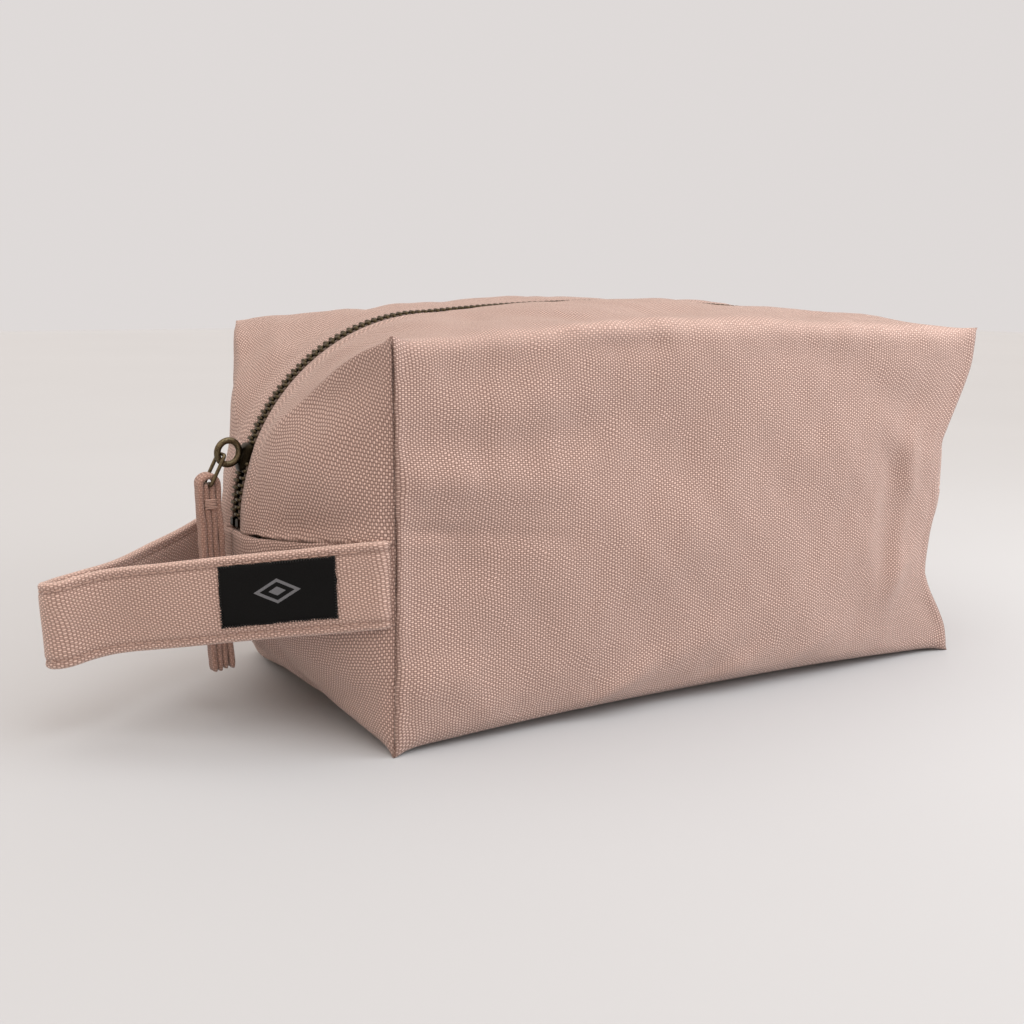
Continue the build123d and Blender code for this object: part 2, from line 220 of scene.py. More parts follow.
class Shader:
    """One procedural material; each call adds a node and gives back its output."""

    def __init__(self, name, roughness=0.8, metallic=0.0, **fixed):
        self.material = bpy.data.materials.new(name)
        self.material.use_nodes = True
        self.tree = self.material.node_tree
        self.surface = self.tree.nodes["Principled BSDF"]
        self.surface.inputs["Roughness"].default_value = roughness
        self.surface.inputs["Metallic"].default_value = metallic
        for key, value in fixed.items():
            self.surface.inputs[key.replace("_", " ")].default_value = value

    def node(self, kind, inputs=None, **settings):
        node = self.tree.nodes.new("ShaderNode" + kind)
        for key, value in settings.items():
            setattr(node, key, value)
        for key, value in (inputs or {}).items():
            self.set(node.inputs[key], value)
        return node

    def set(self, socket, value):
        if isinstance(value, bpy.types.NodeSocket):
            self.tree.links.new(value, socket)
        else:
            socket.default_value = value

    def math(self, operation, a, b=0.0, clamp=False):
        return self.node("Math", {0: a, 1: b}, operation=operation, use_clamp=clamp).outputs[0]

    def scaled(self, vector, factors):
        return self.node("VectorMath", {0: vector, 1: factors}, operation="MULTIPLY").outputs[0]

    def noise(self, vector, scale, detail=2.0, rough=0.5):
        inputs = {"Vector": vector, "Scale": scale, "Detail": detail, "Roughness": rough}
        return self.node("TexNoise", inputs).outputs["Fac"]

    def between(self, factor, low, high):
        """low to high as factor goes from 0 to 1, for numbers."""
        inputs = {"Value": factor, "To Min": low, "To Max": high}
        return self.node("MapRange", inputs, clamp=True).outputs[0]

    def mix(self, factor, a, b, blend="MIX"):
        node = self.node("Mix", data_type="RGBA", blend_type=blend)
        self.set(node.inputs[0], factor)
        self.set(node.inputs[6], a)
        self.set(node.inputs[7], b)
        return node.outputs[2]

    def finish(self, color, height=None, depth=0.2, strength=1.0, roughness=None):
        self.set(self.surface.inputs["Base Color"], color)
        if roughness is not None:
            self.set(self.surface.inputs["Roughness"], roughness)
        if height is not None:
            inputs = {"Height": height, "Distance": depth * MM, "Strength": strength}
            bump = self.node("Bump", inputs)
            self.set(self.surface.inputs["Normal"], bump.outputs[0])
        return self.material


def linear(r, g, b):
    """sRGB 0-255 to a linear colour."""
    values = [c / 255 for c in (r, g, b)]
    values = [c / 12.92 if c <= 0.04045 else ((c + 0.055) / 1.055) ** 2.4 for c in values]
    return (*values, 1.0)


def cloth(name, light, dark, pitch=(1.0, 0.59), depth=0.22, wear_and_shade=True, fuzz=0.25):
    """Plain weave in millimetres of the weave map: floats in a brick pattern, gaps between."""
    s = Shader(name, 0.92, Sheen_Weight=fuzz, Sheen_Roughness=0.55)
    s.surface.inputs["Specular IOR Level"].default_value = 0.2
    uv = s.node("UVMap", uv_map="weave").outputs["UV"]
    drift = s.noise(s.scaled(uv, (0.09, 0.09, 1)), 1.0, 2.0)
    wobble = s.noise(s.scaled(uv, (0.7, 0.7, 1)), 1.0, 1.0)
    shift = s.math("ADD", s.math("MULTIPLY", drift, 2.4), s.math("MULTIPLY", wobble, 0.30))
    parts = s.node("SeparateXYZ", {0: uv})
    waves = []
    for axis, size in enumerate(pitch):
        along = s.math("MULTIPLY", s.math("ADD", parts.outputs[axis], shift), math.pi / size)
        waves.append(s.math("SINE", along))
    product = s.math("MULTIPLY", *waves)
    over = s.math("POWER", s.math("MAXIMUM", product, 0.0), 0.62)
    under = s.math("POWER", s.math("MAXIMUM", s.math("MULTIPLY", product, -1.0), 0.0), 0.8)
    height = s.math("ADD", over, s.math("MULTIPLY", under, 0.42))
    yarns = s.noise(s.scaled(uv, (1.1, 0.10, 1)), 1.0, 2.0)
    picks = s.noise(s.scaled(uv, (0.10, 1.9, 1)), 1.0, 2.0)
    slub = s.math("ADD", yarns, picks)
    fibre = s.noise(s.scaled(uv, (5.0, 5.0, 1)), 1.0, 3.0, 0.7)
    # darker in the gaps between the floats, lighter on them: painted shade in the weave's hollows, over
    # its bump
    color = s.mix(s.between(height, 0.0, 1.0), dark, light)
    color = s.mix(s.between(slub, 0.05, 0.0), color, dark)
    tone = s.between(s.math("ADD", slub, s.math("MULTIPLY", drift, 0.6)), 0.86, 1.13)
    tone = s.math("MULTIPLY", tone, s.between(fibre, 0.90, 1.08))
    tint = s.node("CombineXYZ", {0: tone, 1: tone, 2: tone}).outputs[0]
    color = s.mix(1.0, color, tint, "MULTIPLY")
    # wear_and_shade: lighter where the raised edges are worn; below zero it is painted shade, darker in
    # the seams, stitch lines and along the floor
    if wear_and_shade:
        worn_and_shaded = s.node("Attribute", attribute_name="wear_and_shade").outputs["Fac"]
        color = s.mix(s.math("MULTIPLY", worn_and_shaded, 0.35, True), color, light)
        painted_shade = s.math("MULTIPLY", worn_and_shaded, -0.55, True)
        color = s.mix(painted_shade, color, dark)
    height = s.math("ADD", height, s.math("MULTIPLY", fibre, 0.5))
    return s.finish(color, height, depth)


# PINK_DARK is the painted shade in the weave's gaps and seams, and the darker slubs' own tone
PINK_LIGHT = linear(220, 190, 179)
PINK_DARK = linear(106, 80, 71)
canvas = cloth("canvas", PINK_LIGHT, PINK_DARK)
# the strap's canvas is the same pink made lighter: painted light, for the brighter light on the strap
lit_strap_cloth = cloth("strap_canvas", linear(228, 198, 186), linear(126, 98, 88))
tab_cloth = cloth("tab_canvas", linear(196, 160, 146), linear(112, 82, 71), (0.8, 0.6), 0.25)
tape_cloth = cloth("zip_tape_weave", linear(112, 92, 80), linear(60, 48, 41), (0.5, 0.4), 0.1, False)


def thread_material(name, color, dark, sheen=0.3):
    s = Shader(name, 0.75, Sheen_Weight=sheen)
    where = s.node("TexCoord").outputs["Object"]
    twist = s.noise(s.scaled(where, (1.0, 1.0, 1.0)), 2600.0, 2.0)
    return s.finish(s.mix(twist, dark, color), twist, 0.12)


thread = thread_material("sewing_thread", linear(206, 174, 161), linear(140, 108, 96))
label_thread = thread_material("label_thread", linear(18, 18, 18), linear(3, 3, 3), 0.0)


def brass_material(name, dark, mid, light):
    s = Shader(name, 0.36, 1.0)
    where = s.node("TexCoord").outputs["Object"]
    patina = s.noise(where, 520.0, 4.0, 0.65)
    fine = s.noise(where, 2600.0, 3.0, 0.6)
    color = s.mix(s.between(patina, -0.3, 1.4), linear(*dark), linear(*mid))
    color = s.mix(s.between(fine, -0.9, 1.3), color, linear(*light))
    return s.finish(color, s.math("ADD", patina, fine), 0.03, 0.6, s.between(patina, 0.28, 0.48))


def binding_material():
    s = Shader("seam_binding", 0.9, Sheen_Weight=0.2)
    where = s.node("TexCoord").outputs["Object"]
    ribs = s.node("TexWave", {"Vector": where, "Scale": 320.0, "Distortion": 1.0}).outputs["Fac"]
    return s.finish(s.mix(ribs, linear(120, 98, 86), linear(176, 148, 134)), ribs, 0.15)


def label_material():
    """Black woven satin with a generic woven diamond."""
    s = Shader("label_weave", 0.8, Specular_IOR_Level=0.15)
    uv = s.node("UVMap", uv_map="weave").outputs["UV"]
    parts = s.node("SeparateXYZ", {0: uv})
    ribs = s.math("SINE", s.math("MULTIPLY", parts.outputs[1], math.pi / 0.22))
    cross = s.math("SINE", s.math("MULTIPLY", parts.outputs[0], math.pi / 0.30))
    height = s.math("MULTIPLY", s.math("ABSOLUTE", ribs), s.math("ADD", s.math("ABSOLUTE", cross), 0.6))
    fleck = s.noise(s.scaled(uv, (2.2, 2.2, 1)), 1.0, 3.0, 0.7)
    ground = s.mix(s.between(fleck, -0.4, 1.3), linear(2, 2, 2), linear(22, 22, 23))
    across = s.math("DIVIDE", s.math("ABSOLUTE", parts.outputs[0]), 7.5)
    upward = s.math("DIVIDE", s.math("ABSOLUTE", s.math("SUBTRACT", parts.outputs[1], 0.6)), 3.9)
    reach = s.math("ADD", across, upward)
    ring = s.math("COMPARE", reach, 0.86)
    ring.node.inputs[2].default_value = 0.13
    core = s.math("LESS_THAN", reach, 0.36)
    mark = s.math("MAXIMUM", ring, core)
    color = s.mix(mark, ground, s.mix(fleck, linear(96, 97, 101), linear(140, 141, 146)))
    return s.finish(color, s.math("ADD", height, s.math("MULTIPLY", mark, 0.8)), 0.08)


brass = brass_material("antique_brass", (42, 38, 30), (104, 93, 72), (138, 126, 100))
dull_brass = brass_material("dull_brass", (30, 26, 20), (80, 71, 54), (104, 94, 74))
# a darker copy of the brass: painted shade on the slider body and the stops, which sit in shade beside
# the ring and the canvas
shaded_brass = brass_material("shaded_brass", (10, 9, 7), (32, 28, 20), (50, 43, 31))
binding = binding_material()
label_cloth = label_material()


# ---------------------------------------------------------------- canvas body

def seam_distance(x, y):
    """Distance from the nearest corner seam's straight line, seen from above."""
    return np.hypot(np.abs(x) - HALF_LENGTH, HALF_WIDTH - np.abs(y))


def wall_top(x):
    """Height of the walls' top edge."""
    x = np.abs(x)
    middle = WALL_CROWN - (WALL_CROWN - WALL_SIDE) * (x / ARC_X) ** 2
    side = WALL_SIDE + (CORNER - WALL_SIDE) * (x - ARC_X) / (HALF_LENGTH - ARC_X)
    return np.where(x < ARC_X, middle, side)


def arc(angle):
    """X, Z on the left end's arc at an angle in degrees."""
    angle = np.radians(angle)
    return np.stack([-ARC_X + RADIUS * np.cos(angle), SEAM + RADIUS * np.sin(angle)], -1)


# columns of the canvas grid along each stretch, and rows from the wall to the level band
CHEEK, SHOULDER, MIDDLE, LOWER = 26, 26, 66, 26
ROWS = 34
cheek_u = spread(CHEEK, True, True)
shoulder_u = spread(SHOULDER, True)
lower_u = spread(LOWER, True, True)
middle_x = np.linspace(-ARC_X, ARC_X, MIDDLE + 1)


def both_ends(left, middle):
    """left, middle and left mirrored in X, joined without repeating the ends."""
    right = left[::-1].copy()
    right[:, 0] *= -1
    return np.concatenate([left[:-1], middle, right[1:]])


def upper_outlines():
    """X, Z of the canvas over the top from the left end seam to the right: wall side, zip side."""
    low_z = SEAM_CORNER + (CORNER - SEAM_CORNER) * cheek_u
    cheek = np.stack([np.full_like(low_z, -HALF_LENGTH), low_z], -1)
    x = -HALF_LENGTH + (HALF_LENGTH - ARC_X) * shoulder_u
    shoulder = np.stack([x, wall_top(x)], -1)
    middle = np.stack([middle_x, wall_top(middle_x)], -1)
    wall = both_ends(np.concatenate([cheek[:-1], shoulder]), middle)
    angles = np.concatenate([180 + (CREASE - 180) * cheek_u[:-1], CREASE + (90 - CREASE) * shoulder_u])
    crown_z = CROWN - (CROWN - SEAM - RADIUS) * (middle_x / ARC_X) ** 2
    zipped = both_ends(arc(angles), np.stack([middle_x, crown_z], -1))
    return wall, zipped


def end_reach(z):
    """How far the middle of the lower ends stands out at a height."""
    table = np.array([*FOOT_PROFILE, (SEAM, ARC_X + RADIUS - HALF_LENGTH)])
    return smooth_interp(z, table, 15)


def lower_outlines():
    """The same for the canvas under the bag, from the left end seam round the floor."""
    z_wall, z_mid = SEAM_CORNER * (1 - lower_u), SEAM * (1 - lower_u)
    end_wall = np.stack([np.full_like(z_wall, -HALF_LENGTH), z_wall], -1)
    end_mid = np.stack([-HALF_LENGTH - end_reach(z_mid), z_mid], -1)
    x = np.concatenate([-HALF_LENGTH + (HALF_LENGTH - ARC_X) * shoulder_u[:-1], middle_x,
                        (HALF_LENGTH - (HALF_LENGTH - ARC_X) * shoulder_u[:-1])[::-1]])
    floor_wall = np.stack([x, np.zeros_like(x)], -1)
    floor_mid = np.stack([x * (HALF_LENGTH + FOOT) / HALF_LENGTH, np.zeros_like(x)], -1)
    right = [np.stack([-line[::-1][1:, 0], line[::-1][1:, 1]], -1) for line in (end_wall, end_mid)]
    wall = np.concatenate([end_wall[:-1], floor_wall, right[0]])
    middle = np.concatenate([end_mid[:-1], floor_mid, right[1]])
    return wall, middle


def length_along(line):
    """Lengths along a line, counted from its middle."""
    run = run_of(line)
    return run - run[-1] / 2


ZIP_DIP = 0.95            # of the canvas beside the chain, below the frame's outer face
ZIP_ROWS = [(8.6, -1.0), (7.5, -1.07), (6.5, -1.14), (5.6, -1.22), (4.8, -1.3),
            (4.2, -1.38), (3.4, -1.48), (2.9, -1.78)]   # off the middle, above the outer face
UNDER_ROWS = [(off, 0.0) for off in (8.0, 5.5, 3.0, 1.2, 0.0)]
RIM_START, RIM_FOLLOW = 8.5, 4.4   # canvas rows between these start to give way past the slider
RIM_GIVE = 0.65           # of the teeth's shift


def row_shift(past):
    """How far each row of teeth stands off, by distance past the slider towards the seam."""
    return np.interp(past, [-4, 3, 7, 15], [0, 1.3, 1.2, 0.7])


def frame_of(line):
    """Tangents and outward normals of a line in X, Z."""
    tangent = unit(np.gradient(line, axis=0))
    return tangent, np.stack([-tangent[:, 1], tangent[:, 0]], -1)


def strip(wall, other, edge_rows, full, rise, dip=0.0):
    """Canvas from the wall's edge to the edge at |Y| = BAND, then edge_rows further in.

    full and rise are per column: how much rounder than straight it stands out along X, and how
    far its middle is lifted. dip is its depth at BAND. Gives points [column, row, 3] and flat
    weave coordinates.
    """
    _, outward = frame_of(other)
    t = spread(ROWS, True, pull=0.6)
    width = HALF_WIDTH - BAND
    flat_wall, flat_other = length_along(wall), length_along(other)
    points, flat = [], []
    for share in t:
        xz = wall + (other - wall) * share
        xz[:, 0] += (other[:, 0] - wall[:, 0]) * full * share * (1 - share)
        xz[:, 1] += rise * math.sin(math.pi * share ** 0.9)
        xz -= outward * dip * share ** 4
        y = np.full(len(xz), -HALF_WIDTH + width * share)
        points.append(np.stack([xz[:, 0], y, xz[:, 1]], -1))
        u = flat_wall + (flat_other - flat_wall) * share
        flat.append(np.stack([u, np.full_like(u, width * share)], -1))
    for off, above in edge_rows:
        xz = other + outward * above
        points.append(np.stack([xz[:, 0], np.full(len(xz), -off), xz[:, 1]], -1))
        flat.append(np.stack([flat_other, np.full(len(xz), HALF_WIDTH - off)], -1))
    return np.stack(points, 1), np.stack(flat, 1)


TUCK_UP, TUCK_DOWN = 3.4, 4.2          # how far the end seams' edges turn in
SEAM_DROP, SEAM_PROUD = 0.9, 0.2       # of the upper edge
SEAM_DRAWN = (1.1, 0.1, -0.3, -0.15)   # of the lower edge and the columns after it


def end_seam(points, upper):
    """Curls the end columns of a strip in at the horizontal seams and adds a tucked column."""
    for end, sign in ((0, -1), (-1, 1)):
        near = points[:4] if end == 0 else points[-4:][::-1]
        side = np.clip((HALF_WIDTH + near[0, :, 1]) / 6.0, 0, 1)
        side *= 0.4 + 0.6 * step(-near[0, :, 1], 10, 34)
        if upper:
            near[0, :, 2] -= SEAM_DROP
            near[1, :, 0] += sign * SEAM_PROUD * side
        else:
            for column, drawn in enumerate(SEAM_DRAWN):
                near[column, :, 0] -= sign * drawn * side
        tuck = near[0].copy()
        tuck[:, 0] -= sign * (TUCK_UP if upper else TUCK_DOWN)
        tuck[:, 2] += 0.6 if upper else -0.8
        points = np.concatenate([tuck[None], points] if end == 0 else [points, tuck[None]])
    return points


def pad_flat(flat, amount=3.5):
    """Weave coordinates for the two tucked columns."""
    first, last = flat[:1].copy(), flat[-1:].copy()
    first[..., 0] -= amount
    last[..., 0] += amount
    return np.concatenate([first, flat, last])


class Patchwork:
    """Grids of points welded where they touch, each with its own flat weave coordinates."""

    def __init__(self):
        self.points, self.faces, self.flat, self.tags = [], [], [], []
        self.count = 0

    def grid(self, points, flat, turned, tag):
        index, quads = grid_quads(*points.shape[:2])
        if turned:
            quads = quads[:, ::-1]
        self.faces.append(quads + self.count)
        self.flat.append(flat.reshape(-1, 2)[quads])
        self.points.append(points.reshape(-1, 3))
        self.tags.append(np.full(index.size, tag))
        self.count += index.size

    def welded(self):
        points = np.concatenate(self.points)
        faces = np.concatenate(self.faces)
        tags = np.concatenate(self.tags)
        keys, first, inverse = np.unique(np.round(points, 3), axis=0, return_index=True,
                                         return_inverse=True)
        inverse = inverse.ravel()
        merged_tags = np.zeros(len(keys), int)
        np.maximum.at(merged_tags, inverse, tags)
        return points[first], inverse[faces], np.concatenate(self.flat), merged_tags


WALL, UPPER, UNDER = 1, 2, 3


def build_half():
    """The front half of the canvas before its folds."""
    patch = Patchwork()
    wall_line, zip_line = upper_outlines()
    zip_run = length_along(zip_line)
    ends = np.concatenate([1 - cheek_u, np.zeros(SHOULDER + MIDDLE + SHOULDER - 1), cheek_u])
    lift = np.concatenate([cheek_u[:-1] ** 1.6, (1 - shoulder_u) ** 1.5, np.zeros(MIDDLE - 1)])
    lift = np.concatenate([lift, ((1 - shoulder_u) ** 1.5)[::-1], (cheek_u[:-1] ** 1.6)[::-1]])
    points, flat = strip(wall_line, zip_line, ZIP_ROWS, END_FULLNESS * ends, CREASE_RISE * lift,
                         ZIP_DIP)
    slider_at = zip_run[CHEEK + SHOULDER] - RADIUS * math.radians(SLIDER_ANGLE - 90)
    give = row_shift(slider_at - zip_run)
    off = -points[..., 1]
    points[..., 1] -= RIM_GIVE * give[:, None] * step(off, RIM_START, RIM_FOLLOW) * (off < BAND)
    points = end_seam(points, True)
    patch.grid(points, pad_flat(flat), False, UPPER)

    wall_line, mid_line = lower_outlines()
    ends = np.zeros(len(wall_line))
    ends[:LOWER + 1] = 1 - 0.5 * lower_u
    ends[-LOWER - 1:] = (1 - 0.5 * lower_u)[::-1]
    points, flat = strip(wall_line, mid_line, UNDER_ROWS, END_FULLNESS * ends, 0 * ends)
    points = end_seam(points, False)
    patch.grid(points, pad_flat(flat), True, UNDER)

    top, _ = upper_outlines()
    top = top[CHEEK:len(top) - CHEEK]
    side_z = np.concatenate([SEAM_CORNER * (1 - lower_u)[::-1],
                             (SEAM_CORNER + (CORNER - SEAM_CORNER) * cheek_u)[1:]])
    share = side_z / CORNER
    grid = np.empty((len(top), len(side_z), 3))
    grid[..., 0] = top[:, :1]
    grid[..., 1] = -HALF_WIDTH
    grid[..., 2] = top[:, 1:] * share
    grid[0, :, 2] = side_z
    grid[-1, :, 2] = side_z
    patch.grid(grid, grid[..., [0, 2]].copy(), False, WALL)
    return patch.welded()


def edges_of(faces):
    """Each edge of the quads once, as two point numbers."""
    pairs = np.stack([faces, np.roll(faces, -1, 1)], -1).reshape(-1, 2)
    return np.unique(np.sort(pairs, 1), axis=0)


def relax(points, edges, weight, rounds):
    """Evens out the points towards their neighbours, each by its own weight."""
    points = points.copy()
    count = np.bincount(edges.ravel(), minlength=len(points))[:, None]
    for _ in range(rounds):
        total = np.zeros_like(points)
        np.add.at(total, edges[:, 0], points[edges[:, 1]])
        np.add.at(total, edges[:, 1], points[edges[:, 0]])
        points += (total / np.maximum(count, 1) - points) * (0.5 * weight[:, None])
    return points


def normals_of(points, faces):
    """Unit normals at the points of a mesh of quads."""
    a, b, c, d = (points[faces[:, k]] for k in range(4))
    face = np.cross(c - a, d - b)
    total = np.zeros_like(points)
    for k in range(4):
        np.add.at(total, faces[:, k], face)
    return unit(total)


def near_line(points, start, end):
    """Distance from a 3D segment, and place along it from 0 to 1."""
    start, end = np.asarray(start, float), np.asarray(end, float)
    run = end - start
    along = np.clip((points - start) @ run / (run @ run), 0, 1)
    return np.linalg.norm(points - start - along[:, None] * run, axis=1), along


# strength and width of the softened strips along each kind of edge
SOFT_TOP, SOFT_HEM, SOFT_CREASE, SOFT_BAND, SOFT_FOOT = (1.0, 8), (0.9, 7), (0.22, 5), (0.5, 6), (1.0, 9)
CREASE_MIDDLE = (130, -38, 114)        # a point of the crease from a top corner to the arc
CORNER_REACH = 7                       # nearer a corner than this stays sharp


def softened(distance, strip):
    strength, width = strip
    return strength * bell(distance, width)


def softness(points, tags):
    """How freely each point may round off, from 0 to 1."""
    x, y, z = points.T
    off = np.abs(y)
    wall_gap = HALF_WIDTH - off
    weight = softened(np.hypot(wall_gap, z - wall_top(x)), SOFT_TOP)
    weight += softened(np.hypot(wall_gap, z), SOFT_HEM)
    arc_x, arc_z = arc(CREASE)
    for sign in (-1, 1):
        mirror = np.array([sign, 1, 1])
        line = [mirror * place for place in
                ((HALF_LENGTH, -HALF_WIDTH, CORNER), CREASE_MIDDLE, (-arc_x, -BAND, arc_z))]
        for start, end in zip(line, line[1:]):
            weight += softened(near_line(points, start, end)[0], SOFT_CREASE)
    weight += softened(off - BAND, SOFT_BAND)
    foot = np.abs(x) - HALF_LENGTH - FOOT * np.clip(wall_gap / (HALF_WIDTH - BAND), 0, 1)
    weight += softened(np.hypot(foot, z), SOFT_FOOT)
    seam_gap = seam_distance(x, y)
    weight *= np.clip(seam_gap / 5, 0, 1)
    for height in (0, CORNER):
        weight *= 1 - bell(np.sqrt(seam_gap ** 2 + (z - height) ** 2), CORNER_REACH)
    weight *= np.clip((off - 7.5) / 3, 0, 1) ** (tags == UPPER)
    weight *= np.where((np.abs(z - SEAM - 2) < 7) & (np.abs(x) > HALF_LENGTH + 0.5), 0.15, 1)
    return np.clip(weight, 0, 1)


SEAM_DEPTH, SEAM_CHEEK, SEAM_WALL = 1.8, 0.8, 0.45   # of the groove; how its two sides stand


def corner_seams(points, tags):
    """Draws the corner seams in, so that each is a narrow groove."""
    points = points.copy()
    x, y, z = points.T
    on_seam = seam_distance(x, y) < 0.05
    taper = step(z, 0, 5) * step(CORNER - z, 0, 6)
    depth = SEAM_DEPTH * taper * on_seam
    gap = HALF_WIDTH + y
    cheek = (tags != WALL) & (np.abs(x) > HALF_LENGTH - 0.3) & ~on_seam
    wall = (tags == WALL) & ~on_seam
    edge = HALF_LENGTH - np.abs(x)
    inward = SEAM_CHEEK * taper * cheek * bell(gap, 2.2)
    points[:, 0] -= np.sign(x) * (0.4 * depth + inward)
    points[:, 1] += depth - SEAM_WALL * taper * wall * bell(edge - 2.0, 1.8)
    return points


# how far the front right edge stands out past the corner seam's straight line, by height
RIGHT_EDGE = np.array([(0, 0.8), (9, -0.8), (17, -4.6), (27, -12.0), (34, -15.0), (48, -13.5),
                       (58, -10.8), (74, -10.6), (84, -10.2), (89, -7.9), (97, -3.5), (112, 3.6),
                       (127, 5.4)])


def right_draw(z, side):
    """The same for the front (side -1) or, more gently, the back."""
    if side < 0:
        return smooth_interp(z, RIGHT_EDGE, 19)
    return 0.7 * smooth_interp(np.clip(z * 1.1 - 6, 0, 126), RIGHT_EDGE, 31)


def fold(points, normal_shift, start, end, width, height):
    """Adds a ridge (or a valley, where height is negative) along a segment."""
    distance, along = near_line(points, start, end)
    ends = np.clip(np.minimum(along, 1 - along) / 0.25, 0, 1) * 0.7 + 0.3
    normal_shift += height * bell(distance, width) * ends


FOLD_DEPTH = 1.45                      # times the heights in the lists of folds
WALL_FULLNESS = {-1: 4.6, 1: 5.4}      # how far the front and back walls bulge
TOP_FULLNESS, END_CORNER_FULLNESS = 1.6, 2.6
BROAD, FINE, PUCKER = 0.55, 0.16, 0.09     # unevenness of the cloth and of its seams
HEM_LIFT, TOE_LIFT = 4.2, 5.0          # of the walls' bottom edges and of the ends' toes
BACK_TOP_LIFT = 2.6
BACK_FOOT_LIFT, BACK_FOOT_TUCK = 4.0, 3.0
LEAN = ((0, 0.0), (30, 1.6), (64, 2.2), (100, 1.0), (127, 0.0))   # of the left edges, by height
LEAN_SHARE = {-1: 0.5, 1: 1.6}
W = -HALF_WIDTH
FRONT_FOLDS = [
    # start, end, width, height; the last two in millimetres
    ((-121, W, 97), (-84, W, 93), 7.5, -1.5), ((-88, W, 93), (-42, W, 98), 8.0, -1.2),
    ((-120, W, 85), (-92, W, 83), 6.0, 1.2), ((-94, W, 83), (-60, W, 80), 7.0, 0.9),
    ((-121, W, 70), (-98, W, 67), 2.6, -0.8), ((-99, W, 67), (-60, W, 63), 3.4, -0.5),
    ((-116, W, 60), (-90, W, 57), 7.0, -0.9), ((-121, W, 32.5), (-101, W, 31), 2.4, -0.6),
    ((-119, W, 24), (-96, W, 20), 5.0, 0.6),
    ((-50, W, 4), (-24, W, 18), 3.4, 0.9), ((-24, W, 15), (10, W, 29), 4.4, 0.7),
    ((-8, W, 6), (26, W, 22), 4.0, -0.6), ((30, W, 4), (60, W, 20), 4.6, 0.7),
    ((-56, W, 123), (-16, W, 124), 4.0, -1.3), ((-64, W, 131), (-36, W, 128), 4.0, 0.9),
    ((20, W, 122), (62, W, 117), 6.0, -0.9), ((64, W, 108), (104, W, 96), 7.0, -1.2),
    ((-108, W, 117), (-86, W, 112), 10.0, -1.1), ((-96, W, 104), (-60, W, 108), 9.0, 0.7),
    ((98, W, 92), (101, W, 62), 5.5, 0.9), ((99, W, 60), (97, W, 28), 5.5, 0.8),
    ((86, W, 84), (88, W, 36), 7.0, -0.7), ((74, W, 70), (76, W, 36), 9.0, 0.5),
    ((110, W, 44), (84, W, 24), 4.0, 0.8), ((108, W, 78), (78, W, 92), 5.0, 0.9),
    # over the top, on the shoulder and on the end
    ((-96, -58, 129), (-70, -22, 134), 6.0, -0.9), ((-110, -50, 122), (-122, -18, 118), 4.5, 1.1),
    ((-40, -56, 133), (10, -40, 136), 9.0, -1.0), ((40, -56, 132), (80, -28, 134), 8.0, -1.1),
    ((-123, -62, 118), (-137, -22, 98), 7.0, -0.8), ((-124, -60, 84), (-140, -22, 76), 7.0, 0.9),
    ((-124, -60, 72), (-142, -24, 66), 3.6, -0.9), ((-128, -52, 100), (-139, -26, 88), 8.0, 0.5),
    ((-123, -60, 40), (-136, -28, 30), 8.0, 0.8), ((-123, -62, 20), (-129, -30, 10), 5.0, -0.7),
    ((122, -58, 100), (140, -20, 84), 6.0, -1.2), ((120, -56, 60), (142, -20, 58), 5.0, 1.0),
    ((118, -58, 40), (136, -24, 28), 6.0, -1.1),
]
B = HALF_WIDTH
BACK_FOLDS = [
    ((-118, B, 88), (-70, B, 96), 8.0, -1.3), ((-116, B, 74), (-64, B, 78), 7.0, 1.0),
    ((-120, B, 58), (-88, B, 52), 3.2, -0.8), ((-119, B, 30), (-92, B, 34), 4.0, -0.7),
    ((-30, B, 5), (6, B, 20), 4.0, 0.9), ((20, B, 6), (58, B, 26), 5.0, 0.8),
    ((-80, B, 8), (-52, B, 22), 4.6, 0.7), ((-50, B, 122), (4, B, 124), 5.0, -1.2),
    ((30, B, 120), (84, B, 110), 7.0, -1.2), ((96, B, 96), (98, B, 60), 7.0, 1.6),
    ((84, B, 84), (88, B, 40), 7.0, -1.2), ((108, B, 50), (76, B, 30), 5.0, 0.9),
    ((-104, B, 116), (-78, B, 108), 9.0, -1.0), ((10, B, 70), (60, B, 60), 14.0, 0.8),
    ((-90, 56, 130), (-60, 26, 134), 7.0, -0.2), ((-112, 48, 122), (-124, 18, 116), 5.0, 1.0),
    ((20, 54, 133), (60, 30, 135), 9.0, -1.0), ((-123, 60, 108), (-138, 24, 96), 9.0, 0.5),
    ((-124, 58, 80), (-141, 22, 74), 7.0, 0.8), ((-123, 60, 36), (-136, 28, 30), 8.0, -0.7),
    ((122, 56, 96), (140, 22, 82), 6.0, 1.0), ((120, 58, 50), (142, 22, 50), 6.0, -1.0),
]


